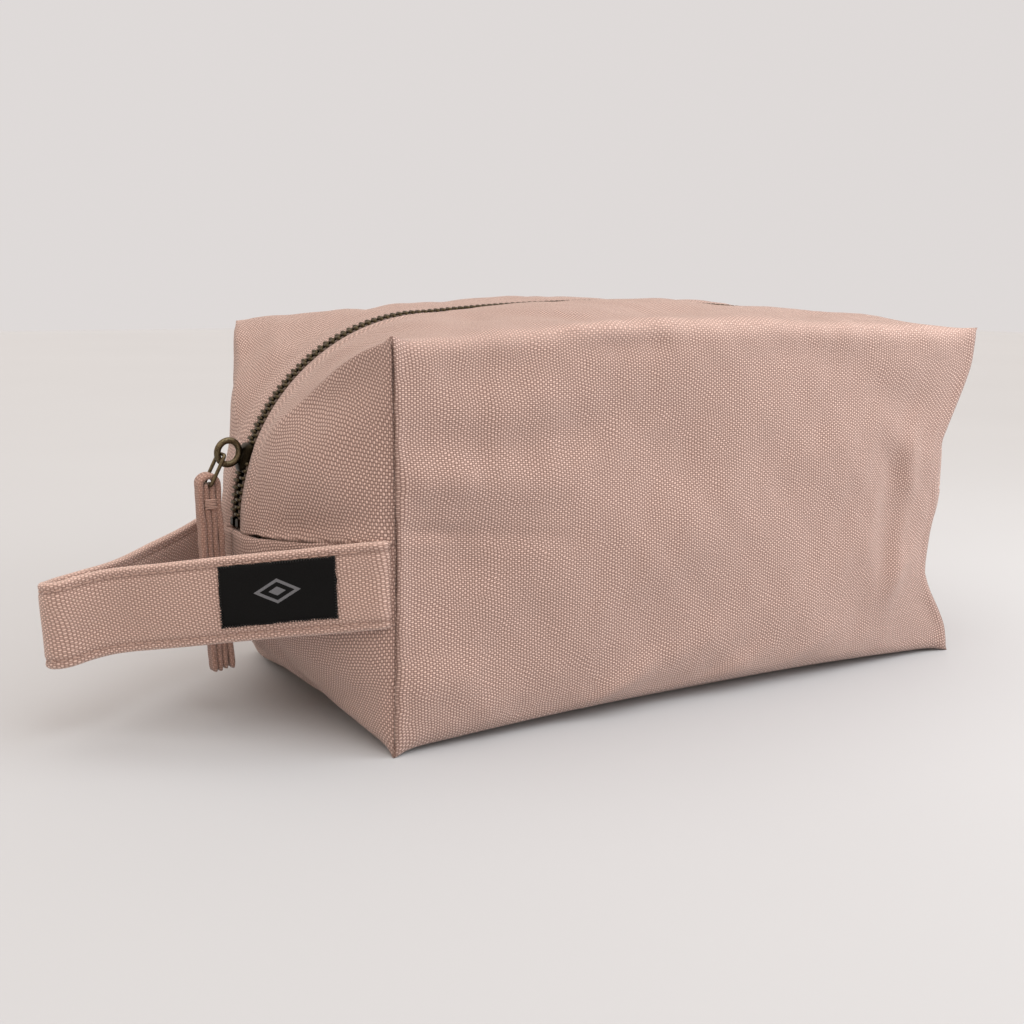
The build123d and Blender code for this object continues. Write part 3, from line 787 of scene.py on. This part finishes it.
def settle(points, faces, tags, side):
    """The soft shape of one half: fullness, folds and unevenness. side is -1 front, 1 back."""
    x, y, z = points.T
    off = np.abs(y)
    normal = normals_of(points, faces)
    inner = step(off, 0, 14)
    wall_share = step(off, HALF_WIDTH - 16, HALF_WIDTH - 2)
    span = np.clip(1 - (x / HALF_LENGTH) ** 2, 0, 1)
    rise = np.clip(z / 129, 0, 1)
    full = span ** 0.8 * np.sin(np.pi * rise ** 0.75) ** 0.85
    shift = WALL_FULLNESS[side] * full * wall_share
    crown = step(z, 110, 128) * (off < HALF_WIDTH - 1)
    across = np.clip(off / HALF_WIDTH, 0, 1)
    shift += TOP_FULLNESS * crown * span * np.sin(np.pi * across) * inner
    end_part = step(np.abs(x), HALF_LENGTH + 0.2, HALF_LENGTH + 3) * np.clip((off - 8) / 20, 0, 1)
    near_corner = bell(HALF_WIDTH - off - 11, 12)
    shift += END_CORNER_FULLNESS * end_part * near_corner * bell(z - SEAM - 3, 26)
    for *place, width, height in FRONT_FOLDS if side < 0 else BACK_FOLDS:
        fold(points, shift, *place, width, height * FOLD_DEPTH)
    broad, fine = Waves(11 + side, 46), Waves(23 + side, 15)
    keep = np.clip((off - 9) / 6, 0, 1)
    pinned = seam_distance(x, y)
    free = np.clip(pinned / 6, 0, 1) * step(z, 0, 6)
    shift = shift * np.clip(pinned / 3.0, 0, 1)
    shift += (BROAD * broad(points) + FINE * fine(points)) * free * keep * inner
    # nothing sinks below the table, and the folds fade before the zip and the middle line
    shift *= np.where(tags == UPPER, keep, np.where(tags == UNDER, inner, 1))
    shift *= np.where((tags == UNDER) & (z < 1.0), 0.0, 1.0)
    moved = points + normal * shift[:, None]
    pucker = Waves(31 + side, 9)
    seam_near = bell(pinned, 3.0) * step(z, 2, 10)
    moved += normal * (PUCKER * pucker(points) * seam_near)[:, None]
    right = step(x, 52, HALF_LENGTH) * step(off, 14, HALF_WIDTH)
    moved[:, 0] += right_draw(z, side) * right
    left = step(-x, 70, HALF_LENGTH) * step(off, 20, HALF_WIDTH)
    moved[:, 0] += np.interp(z, *zip(*LEAN)) * left * LEAN_SHARE[side]
    hem = step(off, HALF_WIDTH - 14, HALF_WIDTH) * span
    moved[:, 2] += HEM_LIFT * hem * bell(z, 9)
    toe = step(np.abs(x), HALF_LENGTH - 30, HALF_LENGTH + 1) * (1 - across ** 2) ** 1.5
    moved[:, 2] += TOE_LIFT * toe * bell(z, 16)
    if side > 0:
        moved[:, 2] += BACK_TOP_LIFT * step(z, 112, 128) * span * step(off, 20, HALF_WIDTH)
        tucked = bell(np.hypot(x + HALF_LENGTH, HALF_WIDTH - off), 9) * bell(z, 7)
        moved[:, 2] += BACK_FOOT_LIFT * tucked
        moved[:, 0] += BACK_FOOT_TUCK * tucked
    return moved


def wear_and_shade_of(points):
    """1 along the raised edges, worn lighter; below 0 for painted shade in the seams and along the
    floor.
    """
    x, y, z = points.T
    off = np.abs(y)
    top = np.hypot(HALF_WIDTH - off, z - wall_top(x))
    worn_and_shaded = 0.9 * bell(top, 3.0) - 0.9 * bell(seam_distance(x, y), 1.2)
    return worn_and_shaded - 0.5 * bell(z, 2.5) * step(off, HALF_WIDTH - 6, HALF_WIDTH)


CANVAS = 1.2              # thickness
RELAX_ROUNDS = 80
rest, panel_faces, weave_map, tags = build_half()
weights = softness(rest, tags)
wear_and_shade = wear_and_shade_of(rest)
soft = relax(rest, edges_of(panel_faces), weights, RELAX_ROUNDS)
on_middle = np.abs(rest[:, 1]) < 0.01
soft[on_middle, 1] = 0
soft = corner_seams(soft, tags)
for side, word in ((-1, "front"), (1, "back")):
    half, order, flat = soft.copy(), panel_faces, weave_map
    if side > 0:
        half[:, 1] *= -1
        order = panel_faces[:, ::-1]
        flat = weave_map[:, ::-1]
    half = settle(half, order, tags, side)
    panel = make_object(f"canvas_{word}", half, order, flat, [canvas], wear_and_shade=wear_and_shade)
    solid = panel.modifiers.new("thickness", "SOLIDIFY")
    solid.thickness = CANVAS * MM
    solid.offset = -1
    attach(panel, "bag")
    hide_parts(f"{word}_panel")


# ---------------------------------------------------------------- swept bands

def rounded_path(corners, radii, spacing):
    """Points along a polyline whose inner corners are rounded."""
    corners = [np.asarray(c, float) for c in corners]
    line = [corners[0]]
    for before, here, after, radius in zip(corners, corners[1:], corners[2:], radii):
        back, ahead = unit(before - here), unit(after - here)
        angle = math.acos(float(np.clip(back @ ahead, -1, 1)))
        cut = radius / math.tan(angle / 2)
        centre = here + unit(back + ahead) * radius / math.sin(angle / 2)
        start, end = here + back * cut, here + ahead * cut
        a, b = start - centre, end - centre
        sweep = math.acos(float(np.clip(a @ b / radius ** 2, -1, 1)))
        for t in np.linspace(0, 1, max(4, int(radius * sweep / 1.2))):
            line.append(centre + (a * math.sin((1 - t) * sweep) + b * math.sin(t * sweep))
                        / math.sin(sweep))
    line.append(corners[-1])
    return resample(np.array(line), spacing)


def resample(line, spacing):
    """Points along a line at about the same spacing."""
    run = run_of(line)
    even = np.linspace(0, run[-1], int(run[-1] / spacing) + 1)
    return read_at(even, run, line)


def band_section(width, thickness, stitch=None, points=15):
    """Half-outline of a pressed band: places across it and half thickness at each."""
    place = np.sin(np.linspace(-np.pi / 2, np.pi / 2, points)) * width / 2
    edge = np.clip((width / 2 - np.abs(place)) / (thickness * 0.5), 0, 1)
    half = thickness / 2 * (1 - (1 - edge) ** 2) ** 0.5
    if stitch:
        half = half - 0.42 * bell(np.abs(place) - stitch, 0.7)
    return place, half


def swept_band(name, path, across, width, thickness, material, stitch=None, wobble=None,
               points=15, taper=0.8, thin=0.62):
    """A cloth band along path (n, 3), its width along the unit vectors across."""
    tangent = unit(np.gradient(path, axis=0))
    across = unit(across - (across * tangent).sum(-1, keepdims=True) * tangent)
    normal = np.cross(tangent, across)
    place, half = band_section(width, thickness, stitch, points)
    place = np.concatenate([place, place[-2:0:-1]])
    height = np.concatenate([half, -half[-2:0:-1]])
    around = run_of(np.stack([place, height], -1))
    run = run_of(path)
    from_end = np.clip(np.minimum(run, run[-1] - run) / taper, 0, 1)
    shrink = thin + (1 - thin) * np.sqrt(1 - (1 - from_end) ** 2)
    shrink = shrink[:, None]
    rings = (path[:, None] + across[:, None] * (place * (0.92 + 0.08 * shrink))[..., None]
             + normal[:, None] * (height * shrink)[..., None])
    if wobble is not None:
        rings += normal[:, None] * wobble(rings)[..., None]
    count, size = rings.shape[:2]
    v = np.append(around, around[-1] + abs(height[-1]) + 0.3)
    flat = np.stack(np.broadcast_arrays(run[:, None], v), -1)
    column = np.arange(size)
    uv = np.stack([flat[:-1][:, column], flat[1:][:, column], flat[1:][:, column + 1],
                   flat[:-1][:, column + 1]], 2).reshape(-1, 2)
    faces = tube_faces(count, size)
    caps = np.concatenate([np.stack([height, place], -1), np.stack([height, place], -1)[::-1]])
    # lighter where the band's edges are worn; painted shade along the stitch lines
    wear_and_shade = np.zeros((count, size)) + np.where(np.abs(place) > width / 2 - 1.0, 0.7, 0.0)
    if stitch:
        wear_and_shade -= 1.1 * bell(np.abs(place) - stitch, 0.6)
    obj = make_object(name, rings.reshape(-1, 3), faces, np.concatenate([uv, caps]), [material],
                      wear_and_shade=wear_and_shade.ravel())
    return obj, tangent, across, normal


def stitches(name, centres, along, up, length, width, height, material):
    """Short rounded lengths of thread, all in one mesh."""
    place, size = np.array([(-0.5, 0.25), (-0.4, 0.8), (0.0, 1.0), (0.4, 0.8), (0.5, 0.25)]).T
    place, size = place[:, None, None], size[:, None, None]
    angle = (np.arange(6) * 2 * np.pi / 6)[:, None]
    girth = (row(np.cross(along, up)) * np.cos(angle) * width / 2
             + row(up) * np.sin(angle) * height / 2)
    return tubes(name, row(centres) + row(along) * place * length + girth * size, material)


# ---------------------------------------------------------------- strap handle

STRAP_WIDTH, STRAP_THICKNESS = 27.0, 3.0
STITCH_OFF, STITCH_PITCH = 10.9, 3.0   # of the stitch lines, off the band's middle
# how the band's middle line hangs: DROOP down towards the nose, ROLL down towards the back
DROOP, ROLL = math.radians(8.3), math.radians(2.64)
STRAP_ORIGIN = np.array([-HALF_LENGTH, 0.0, 51.0])
STRAP_OUT = np.array([-math.cos(DROOP), 0.0, -math.sin(DROOP)])
STRAP_SIDE = np.array([0.0, math.cos(ROLL), -math.sin(ROLL)])
BAND_TILT = math.radians(2.0)
STRAP_DOWN = np.array([math.sin(BAND_TILT), 0.0, -math.cos(BAND_TILT)])
NECK, NOSE = (70.0, 6.0), 86.5         # where the legs meet and where the band ends
BEND_RADIUS, NECK_RADIUS, NOSE_RADIUS = 2.4, 27.0, 5.8
BACK_LEG_SAG, NOSE_SAG = 3.0, 0.8
# each end turns into its corner seam at BEND and stops at TUCKED
TUCKED, BEND = (-2.4, HALF_WIDTH - 4.4), (1.4, HALF_WIDTH - 1.7)
LABEL_SIZE, LABEL_REACH, LABEL_UP, LABEL_SKEW = (36.6, 18.7), 33.0, 1.2, 0.11


def strap_point(out, side):
    """A point of the band's middle line, outward from the end seam and to the back."""
    far = step(side, -8, 24) * np.clip((BEND[1] - side) / (BEND[1] - 9), 0, 1)
    sag = BACK_LEG_SAG * far + NOSE_SAG * step(out, NOSE - 18, NOSE)
    return STRAP_ORIGIN + STRAP_OUT * out + STRAP_SIDE * side - np.array([0.0, 0.0, sag])


leg_angle = math.atan2(BEND[1] - NECK[1], NECK[0] - BEND[0])
route = [(TUCKED[0], -TUCKED[1]), (BEND[0], -BEND[1]), (NECK[0], -NECK[1]), (NOSE, -NECK[1]),
         (NOSE, NECK[1]), NECK, BEND, TUCKED]
radii = [BEND_RADIUS, NECK_RADIUS, NOSE_RADIUS]
flat_route = rounded_path(route, radii + radii[::-1], 1.6)
strap_line = np.array([strap_point(*p) for p in flat_route])
down = np.tile(STRAP_DOWN, (len(strap_line), 1))
strap_waves = Waves(5, 34)


def strap_wobble(points):
    """How far the strap's cloth waves out of its plane."""
    return 0.35 * strap_waves(points)


strap, strap_tangent, strap_across, strap_normal = swept_band(
    "strap_handle", strap_line, down, STRAP_WIDTH, STRAP_THICKNESS, lit_strap_cloth, STITCH_OFF,
    strap_wobble, 25, 7.0, 0.35)
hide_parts("handle_strap", "handle_end_front", "handle_end_back")


def strap_stitches():
    run = run_of(strap_line)
    at = np.arange(12.0, run[-1] - 12.0, STITCH_PITCH)
    line = read_at(at, run, strap_line)
    tangent, normal, across = (unit(read_at(at, run, vectors))
                               for vectors in (strap_tangent, strap_normal, strap_across))
    centres, along, up = [], [], []
    for off in (-STITCH_OFF, STITCH_OFF):
        for face in (-1, 1):
            middle = line + across * off + normal * face * (STRAP_THICKNESS / 2 - 0.30)
            middle += normal * strap_wobble(middle)[:, None]
            centres.append(middle)
            along.append(tangent)
            up.append(normal * face)
    return stitches("strap_stitching", np.concatenate(centres), np.concatenate(along),
                    np.concatenate(up), 2.2, 0.55, 0.5, thread)


strap_thread = strap_stitches()
for piece, slot in ((strap, "canvas"), (strap_thread, "thread")):
    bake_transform(piece)


EDGE_PITCH = 0.85         # of the stitches round the label


def label_piece():
    """The woven label on the near leg, with its overcast edge."""
    length, height = LABEL_SIZE
    along = unit(STRAP_OUT * math.cos(leg_angle) + STRAP_SIDE * math.sin(leg_angle))
    outward = unit(np.cross(along, STRAP_DOWN))
    down = np.cross(outward, along)
    across = along * -LABEL_SKEW - down
    middle = strap_point(BEND[0], -BEND[1]) + along * LABEL_REACH - down * LABEL_UP
    lift = STRAP_THICKNESS / 2
    columns, rows = 35, 19
    u = np.linspace(-length / 2, length / 2, columns)
    v = np.linspace(-height / 2, height / 2, rows)
    waves = Waves(3, 16)
    grid_u, grid_v = np.meshgrid(u, v, indexing="ij")
    edge = np.minimum(length / 2 - np.abs(grid_u), height / 2 - np.abs(grid_v))
    spots = np.stack([grid_u, grid_v, 0 * grid_u], -1)
    wave = 0.12 * waves(spots)
    frayed = np.where(edge < 0.1, 0.16 * Waves(8, 3.0)(spots), 0)
    rise = 0.55 + 0.25 * np.clip(edge / 1.2, 0, 1) + wave
    base = (middle + along * (grid_u * (1 + frayed / 18))[..., None]
            + across * (grid_v * (1 + frayed / 10))[..., None])
    base += outward * strap_wobble(base)[..., None]
    front = base + outward * (lift + rise)[..., None]
    back = base + outward * (lift - 0.25)
    ring_points = np.concatenate([front.reshape(-1, 3), back.reshape(-1, 3)])
    index, quads = grid_quads(columns, rows)
    border = np.concatenate([index[:-1, 0], index[-1, :-1], index[:0:-1, -1], index[0, :0:-1]])
    ahead = np.roll(border, -1)
    count = columns * rows
    walls = np.stack([border, border + count, ahead + count, ahead], -1)
    faces = np.concatenate([quads[:, ::-1], quads + count, walls[:, ::-1]])
    flat = np.stack([-grid_u, grid_v], -1).reshape(-1, 2)
    flat = np.concatenate([flat, flat])
    obj = make_object("woven_label", ring_points, faces, flat[faces].reshape(-1, 2), [label_cloth])
    centres, ways = [], []
    places = np.arange(-length / 2, length / 2 + 0.1, EDGE_PITCH)
    draw = np.random.default_rng(12)
    for sign in (-1, 1):
        for p in places:
            centres.append((p, sign * (height / 2 - 0.15)))
            ways.append((draw.uniform(-0.35, 0.35), 1.0))
        for p in np.arange(-height / 2, height / 2 + 0.1, EDGE_PITCH):
            centres.append((sign * (length / 2 - 0.15), p))
            ways.append((1.0, draw.uniform(-0.35, 0.35)))
    centres, ways = np.array(centres), np.array(ways)
    spots = middle + along * centres[:, :1] + across * centres[:, 1:] + outward * (lift + 0.5)
    spots += outward * strap_wobble(spots)[:, None]
    ways = unit(along * ways[:, :1] + across * ways[:, 1:])
    edging = stitches("label_edging", spots, ways, np.tile(outward, (len(spots), 1)),
                      0.85, 0.45, 0.6, label_thread)
    return obj, edging


woven_label, label_edging = label_piece()
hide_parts("handle_label")
for piece in (woven_label, label_edging):
    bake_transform(piece)


# ---------------------------------------------------------------- zip

def zip_frame():
    """Evenly spaced points on the chain's middle line with their tangents and outward normals."""
    _, outer = upper_outlines()
    _, outward = frame_of(outer)
    line = resample(outer - outward * TAPE_DEPTH, 0.4)
    return line, *frame_of(line)


chain_line, chain_tangent, chain_out = zip_frame()
chain_run = run_of(chain_line)
slider_run = math.radians(180 - SLIDER_ANGLE) * (RADIUS - TAPE_DEPTH)


def on_chain(distance):
    """X, Z places, tangents and outward normals at distances along the chain."""
    line, tangent, outward = (read_at(distance, chain_run, values)
                              for values in (chain_line, chain_tangent, chain_out))
    return line, unit(tangent), unit(outward)


def lift_3d(xz, y):
    """X, Z places at a given Y, as points in space."""
    return np.stack([xz[..., 0], np.broadcast_to(y, xz[..., 0].shape), xz[..., 1]], -1)


END_CLEAR = 5.0           # from the ends of the chain to the first teeth
TOOTH_MIDDLE = 0.85       # of a closed tooth, off the middle line
TOOTH_SECTIONS = [   # across the tape from the head to the leg: place, half length, half height
    (-1.65, 0.30, 0.40), (-1.50, 0.52, 0.70), (-1.10, 0.66, 0.86), (-0.65, 0.62, 0.94),
    (-0.30, 0.50, 1.00), (0.35, 0.58, 1.08), (1.35, 0.62, 1.08), (1.80, 0.50, 0.86)]


def teeth(side):
    """One row of teeth, each an eight-sided block that swells and narrows across the tape."""
    sign = -1 if side == "front" else 1
    count = int((chain_run[-1] - 2 * END_CLEAR) / PITCH)
    at = END_CLEAR + (0 if side == "front" else PITCH / 2) + PITCH * np.arange(count)
    at = at[at < chain_run[-1] - 3.0]
    xz, tangent, outward = on_chain(at)
    centre = lift_3d(xz, sign * (TOOTH_MIDDLE + row_shift(slider_run - at)))
    corner = np.array([(1, 0.45), (0.6, 1), (-0.6, 1), (-1, 0.45), (-1, -0.45), (-0.6, -1),
                       (0.6, -1), (1, -0.45)])
    place, half_length, half_height = np.array(TOOTH_SECTIONS).T[:, :, None, None]
    points = (row(centre) + row(lift_3d(tangent, 0.0)) * half_length * corner[:, :1]
              + row(lift_3d(outward, 0.0)) * half_height * corner[:, 1:]
              + np.array([0.0, sign, 0.0]) * place)
    obj = tubes(f"zip_teeth_row_{side}", points, dull_brass, turned=sign < 0)
    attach(obj, "bag")
    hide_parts(f"zip_teeth_{side}")


def tape(side):
    """Half of the zip's tape, with the cord that the teeth grip along its edge."""
    sign = -1 if side == "front" else 1
    at = np.arange(0.2, chain_run[-1] - 0.2, 1.2)
    xz, _, outward = on_chain(at)
    shift = row_shift(slider_run - at)
    section = np.array([
        (9.8, -1.3), (5.0, -1.2), (3.4, -0.7), (2.6, -0.05), (2.0, 0.3), (1.55, 0.2),
        (1.35, -0.2), (1.55, -0.6), (2.0, -0.8), (2.7, -0.9), (3.6, -1.3), (5.0, -1.8),
        (9.8, -1.9)])   # off the middle line, above the chain's line
    flat_v = run_of(section)
    grid = np.stack([lift_3d(xz + outward * h, sign * (y + shift * (1 if y < 4 else 0)))
                     for y, h in section], 1)
    index, quads = grid_quads(*grid.shape[:2])
    close = np.stack([index[:-1, -1], index[1:, -1], index[1:, 0], index[:-1, 0]], -1)
    quads = np.concatenate([quads, close])
    if sign > 0:
        quads = quads[:, ::-1]
    flat = np.stack(np.broadcast_arrays(at[:, None], flat_v[None]), -1).reshape(-1, 2)
    caps = [list(index[0]), list(index[-1][::-1])]
    if sign > 0:
        caps = [c[::-1] for c in caps]
    faces = [list(q) for q in quads] + caps
    uv = flat[np.concatenate([quads.ravel(), np.concatenate(caps)])]
    obj = make_object(f"zip_tape_weave_{side}", grid.reshape(-1, 3), faces, uv, [tape_cloth])
    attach(obj, "bag")
    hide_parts(f"zip_tape_{side}")


for word in ("front", "back"):
    teeth(word)
    tape(word)


# ---------------------------------------------------------------- pull tab

TAB_LOW, TAB_HIGH = box_mm("pull_tab")
TAB_X = (TAB_LOW[0] + TAB_HIGH[0]) / 2
BAR_Z = joints["tab_swing"]["pos_m"][2] / MM
TAB_WIDTH = TAB_HIGH[1] - TAB_LOW[1]
TAB_LEAN = 3.2
PLY, INNER_PLY_OFF = 1.95, 0.98        # thickness; how far the inner plies are off the middle


def tab_path(places):
    """Adds the tab's lean to X, Z places and lifts them to 3D."""
    places = np.array(places, float)
    drop = (BAR_Z - places[:, 1]) / (BAR_Z - TAB_LOW[2])
    places[:, 0] += TAB_LEAN * np.clip(drop, 0, 1) ** 1.3
    return lift_3d(places, 0.0)


def tab_pieces():
    outer = (TAB_HIGH[0] - TAB_LOW[0]) / 2 - PLY / 2
    turn = [(TAB_X - outer * math.cos(a), BAR_Z + outer * math.sin(a))
            for a in np.linspace(0, math.pi, 17)]
    left = [(TAB_X - outer, z) for z in np.linspace(TAB_LOW[2], BAR_Z, 40)[:-1]]
    right = [(TAB_X + outer, z) for z in np.linspace(BAR_Z, TAB_LOW[2] + 0.5, 40)[1:]]
    paths = {"outer": tab_path(left + turn + right)}
    for word, sign in (("near", -1), ("far", 1)):
        bottom = TAB_LOW[2] + 0.3 + 0.3 * sign
        line = [(TAB_X + sign * INNER_PLY_OFF, z) for z in np.linspace(bottom, BAR_Z + 0.5, 38)]
        paths[f"inner_{word}"] = tab_path(line)
    sideways = np.array([0.0, 1.0, 0.0])
    waves = Waves(17, 7)
    made = []
    for word, path in paths.items():
        across = np.tile(sideways, (len(path), 1))
        width = TAB_WIDTH if word == "outer" else TAB_WIDTH - 0.5
        obj, *_ = swept_band(f"tab_ply_{word}", path, across, width, PLY, tab_cloth,
                             wobble=lambda p: 0.10 * waves(p), points=13)
        made.append(obj)
    return made


for piece in tab_pieces():
    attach(piece, "tab")
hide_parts("pull_tab")


def bar_tack():
    low, high = box_mm("tab_bar_tack")
    draw = np.random.default_rng(4)
    centres, along, up = [], [], []
    for face in (-1, 1):
        for z in np.linspace(low[2] + 0.4, high[2] - 0.4, 6):
            x = (low[0] + high[0]) / 2 + draw.uniform(-0.2, 0.2)
            centres.append((x, face * (TAB_WIDTH / 2 - 0.12), z))
            along.append((1.0, 0.0, draw.uniform(-0.12, 0.12)))
            up.append((0.0, face, 0.0))
    obj = stitches("tab_bar_tack_thread", np.array(centres), unit(np.array(along)),
                   np.array(up, float), high[0] - low[0] + 0.4, 0.62, 0.9, thread)
    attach(obj, "tab")
    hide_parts("tab_bar_tack")


bar_tack()


# ---------------------------------------------------------------- slider, ring, right bindings

def pebble(name, centre, along, outward, size, material, taper=0.0):
    """A rounded block; size is half its length, width and height, taper narrows one end."""
    sideways = np.cross(outward, along)
    sweep = np.linspace(-np.pi / 2, np.pi / 2, 17)
    spin = np.linspace(0, 2 * np.pi, 28, endpoint=False)

    def boxy(value, power):
        return np.sign(value) * np.abs(value) ** power

    place, girth = boxy(np.sin(sweep), 0.55), np.maximum(boxy(np.cos(sweep), 0.55), 0.02)
    across = girth * (1 + taper * place)
    rings = (centre + along * (place * size[0])[:, None, None]
             + sideways * (across[:, None] * boxy(np.cos(spin), 0.6) * size[1])[..., None]
             + outward * (girth[:, None] * boxy(np.sin(spin), 0.6) * size[2])[..., None])
    return tubes(name, rings[None], material, turned=True)


def slider_frame():
    """Directions outward from the zip and along it, at the slider."""
    angle = math.radians(SLIDER_ANGLE)
    outward = np.array([math.cos(angle), 0.0, math.sin(angle)])
    return outward, np.array([-math.sin(angle), 0.0, math.cos(angle)])


SLIDER_HALF, SLIDER_TAPER = (5.0, 3.7, 2.7), -0.14


def slider():
    outward, along = slider_frame()
    low, high = box_mm("slider_body")
    shell = pebble("slider_shell", (low + high) / 2, along, outward, SLIDER_HALF,
                   shaded_brass, SLIDER_TAPER)
    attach(shell, "slider")
    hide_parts("slider_body")


def bail():
    """The slider's oval ring of round wire."""
    low, high = box_mm("slider_bail")
    outward, along = slider_frame()
    half_length, half_height, wire, thick, inward = 3.9, 3.6, 2.15, 2.1, 0.35
    turn = np.linspace(0, 2 * np.pi, 48, endpoint=False)
    u, v = half_length * np.cos(turn), half_height * np.sin(turn) - inward
    path = (low + high) / 2 + along * u[:, None] + outward * v[:, None]
    tangent = unit(np.roll(path, -1, 0) - np.roll(path, 1, 0))
    sideways = np.array([0.0, 1.0, 0.0])
    spin = np.linspace(0, 2 * np.pi, 14, endpoint=False)[None, :, None]
    rings = (path[:, None] + np.cross(tangent, sideways)[:, None] * np.cos(spin) * wire / 2
             + sideways * np.sin(spin) * thick / 2)
    obj = tubes("bail_ring", rings[None], brass, loop=True)
    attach(obj, "slider")
    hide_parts("slider_bail")


def right_bindings():
    """Bound seam edges just inside the drawn-in corner seams."""
    z = np.linspace(3, 123, 61)
    for side, word in ((-1, "front"), (1, "back")):
        x = HALF_LENGTH + right_draw(z, side) - 6.0
        path = np.stack([x, np.full_like(z, side * (HALF_WIDTH - 6.0)), z], -1)
        across = np.tile(unit(np.array([1.0, side, 0.0])), (len(z), 1))
        obj, *_ = swept_band(f"corner_binding_tape_{word}", path, across, 6.0, 1.4, binding)
        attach(obj, "bag")
        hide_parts(f"corner_binding_right_{word}")


slider()
bail()
right_bindings()


# ---------------------------------------------------------------- CAD nodes that stay

def refinish(name, material, round_edges=0.0):
    """Gives a CAD node a material, and rounds its sharp edges by so many millimetres."""
    node = nodes[name]
    if not node.data.materials:
        node.data.materials.append(material)
    for slot in node.material_slots:
        slot.material = material
    if round_edges:
        weld = node.modifiers.new("weld", "WELD")
        weld.merge_threshold = 0.01 * MM
        bevel = node.modifiers.new("edges", "BEVEL")
        bevel.width = round_edges * MM
        bevel.segments = 2
        bevel.limit_method = "ANGLE"
        bevel.angle_limit = math.radians(40)


for name in nodes:
    if name.endswith("_binding") or name.startswith(("corner_binding", "end_binding")):
        refinish(name, binding)
refinish("pull_link", brass)
for name in ("zip_top_stops", "zip_bottom_stop"):
    refinish(name, shaded_brass, 0.18)
for name in nodes:         # those hidden under the pieces that replace them
    if nodes[name].hide_render:
        refinish(name, canvas if "teeth" not in name else brass)


# ---------------------------------------------------------------- stage, light, camera

def floor():
    s = Shader("pale_floor", 0.7)
    where = s.node("TexCoord").outputs["Object"]
    cloud = s.noise(where, 3.0, 3.0)
    s.finish(s.mix(cloud, linear(177, 180, 184), linear(182, 185, 189)))
    size, level = 3000.0, -0.05
    corners = [(x * size, y * size, level) for x, y in ((-1, -1), (1, -1), (1, 1), (-1, 1))]
    obj = make_object("floor", corners, [(0, 1, 2, 3)], None, [s.material], flat=True)


floor()


def studio_world():
    """A pale backdrop for the camera, and a dimmer even light from all round."""
    world = bpy.data.worlds.new("studio")
    bpy.context.scene.world = world
    world.use_nodes = True
    tree = world.node_tree
    light = tree.nodes["Background"]
    light.inputs["Color"].default_value = (0.98, 0.82, 0.70, 1.0)
    light.inputs["Strength"].default_value = 0.90
    backdrop = tree.nodes.new("ShaderNodeBackground")
    backdrop.inputs["Color"].default_value = (0.735, 0.70, 0.69, 1.0)
    kind = tree.nodes.new("ShaderNodeLightPath")
    either = tree.nodes.new("ShaderNodeMixShader")
    tree.links.new(kind.outputs["Is Camera Ray"], either.inputs[0])
    tree.links.new(light.outputs[0], either.inputs[1])
    tree.links.new(backdrop.outputs[0], either.inputs[2])
    tree.links.new(either.outputs[0], tree.nodes["World Output"].inputs["Surface"])


studio_world()


def lamp(name, kind, place, energy, color, **settings):
    """A light shining from place towards the bag."""
    data = bpy.data.lights.new(name, kind)
    data.energy = energy
    data.color = color
    for key, value in settings.items():
        setattr(data, key, value)
    obj = bpy.data.objects.new(name, data)
    bpy.context.scene.collection.objects.link(obj)
    obj.location = place
    target = Vector((0.0, 0.0, 0.06))
    obj.rotation_euler = (target - Vector(place)).to_track_quat("-Z", "Y").to_euler()


lamp("key", "SUN", (0.80, -1.02, 1.70), 1.05, (0.86, 0.95, 1.0), angle=math.radians(66))
lamp("over", "SUN", (-0.35, -0.10, 1.50), 1.42, (1.0, 0.98, 0.965), angle=math.radians(85))
lamp("side", "AREA", (0.46, -0.42, 0.28), 2.2, (0.98, 0.985, 1.0), size=0.40)

CAMERA_PLACE = (-0.2892, -0.4082, 0.1441)
CAMERA_TURN = (31.29, 10.115, 0.644)   # to the right of +Y, down, and round its own axis
LENS = 46.36

data = bpy.data.cameras.new("camera")
data.sensor_width = 36.0
data.lens = LENS
data.clip_start = 0.01
camera = bpy.data.objects.new("camera", data)
bpy.context.scene.collection.objects.link(camera)
yaw, pitch, roll = (math.radians(a) for a in CAMERA_TURN)
forward = Vector((math.sin(yaw) * math.cos(pitch), math.cos(yaw) * math.cos(pitch), -math.sin(pitch)))
level = Vector((math.cos(yaw), -math.sin(yaw), 0.0))
upright = level.cross(forward)
right = level * math.cos(roll) + upright * math.sin(roll)
up = upright * math.cos(roll) - level * math.sin(roll)
turn = Matrix((right, up, -forward)).transposed().to_4x4()
camera.matrix_world = Matrix.Translation(CAMERA_PLACE) @ turn
bpy.context.scene.camera = camera
bpy.context.scene.view_settings.view_transform = "Standard"
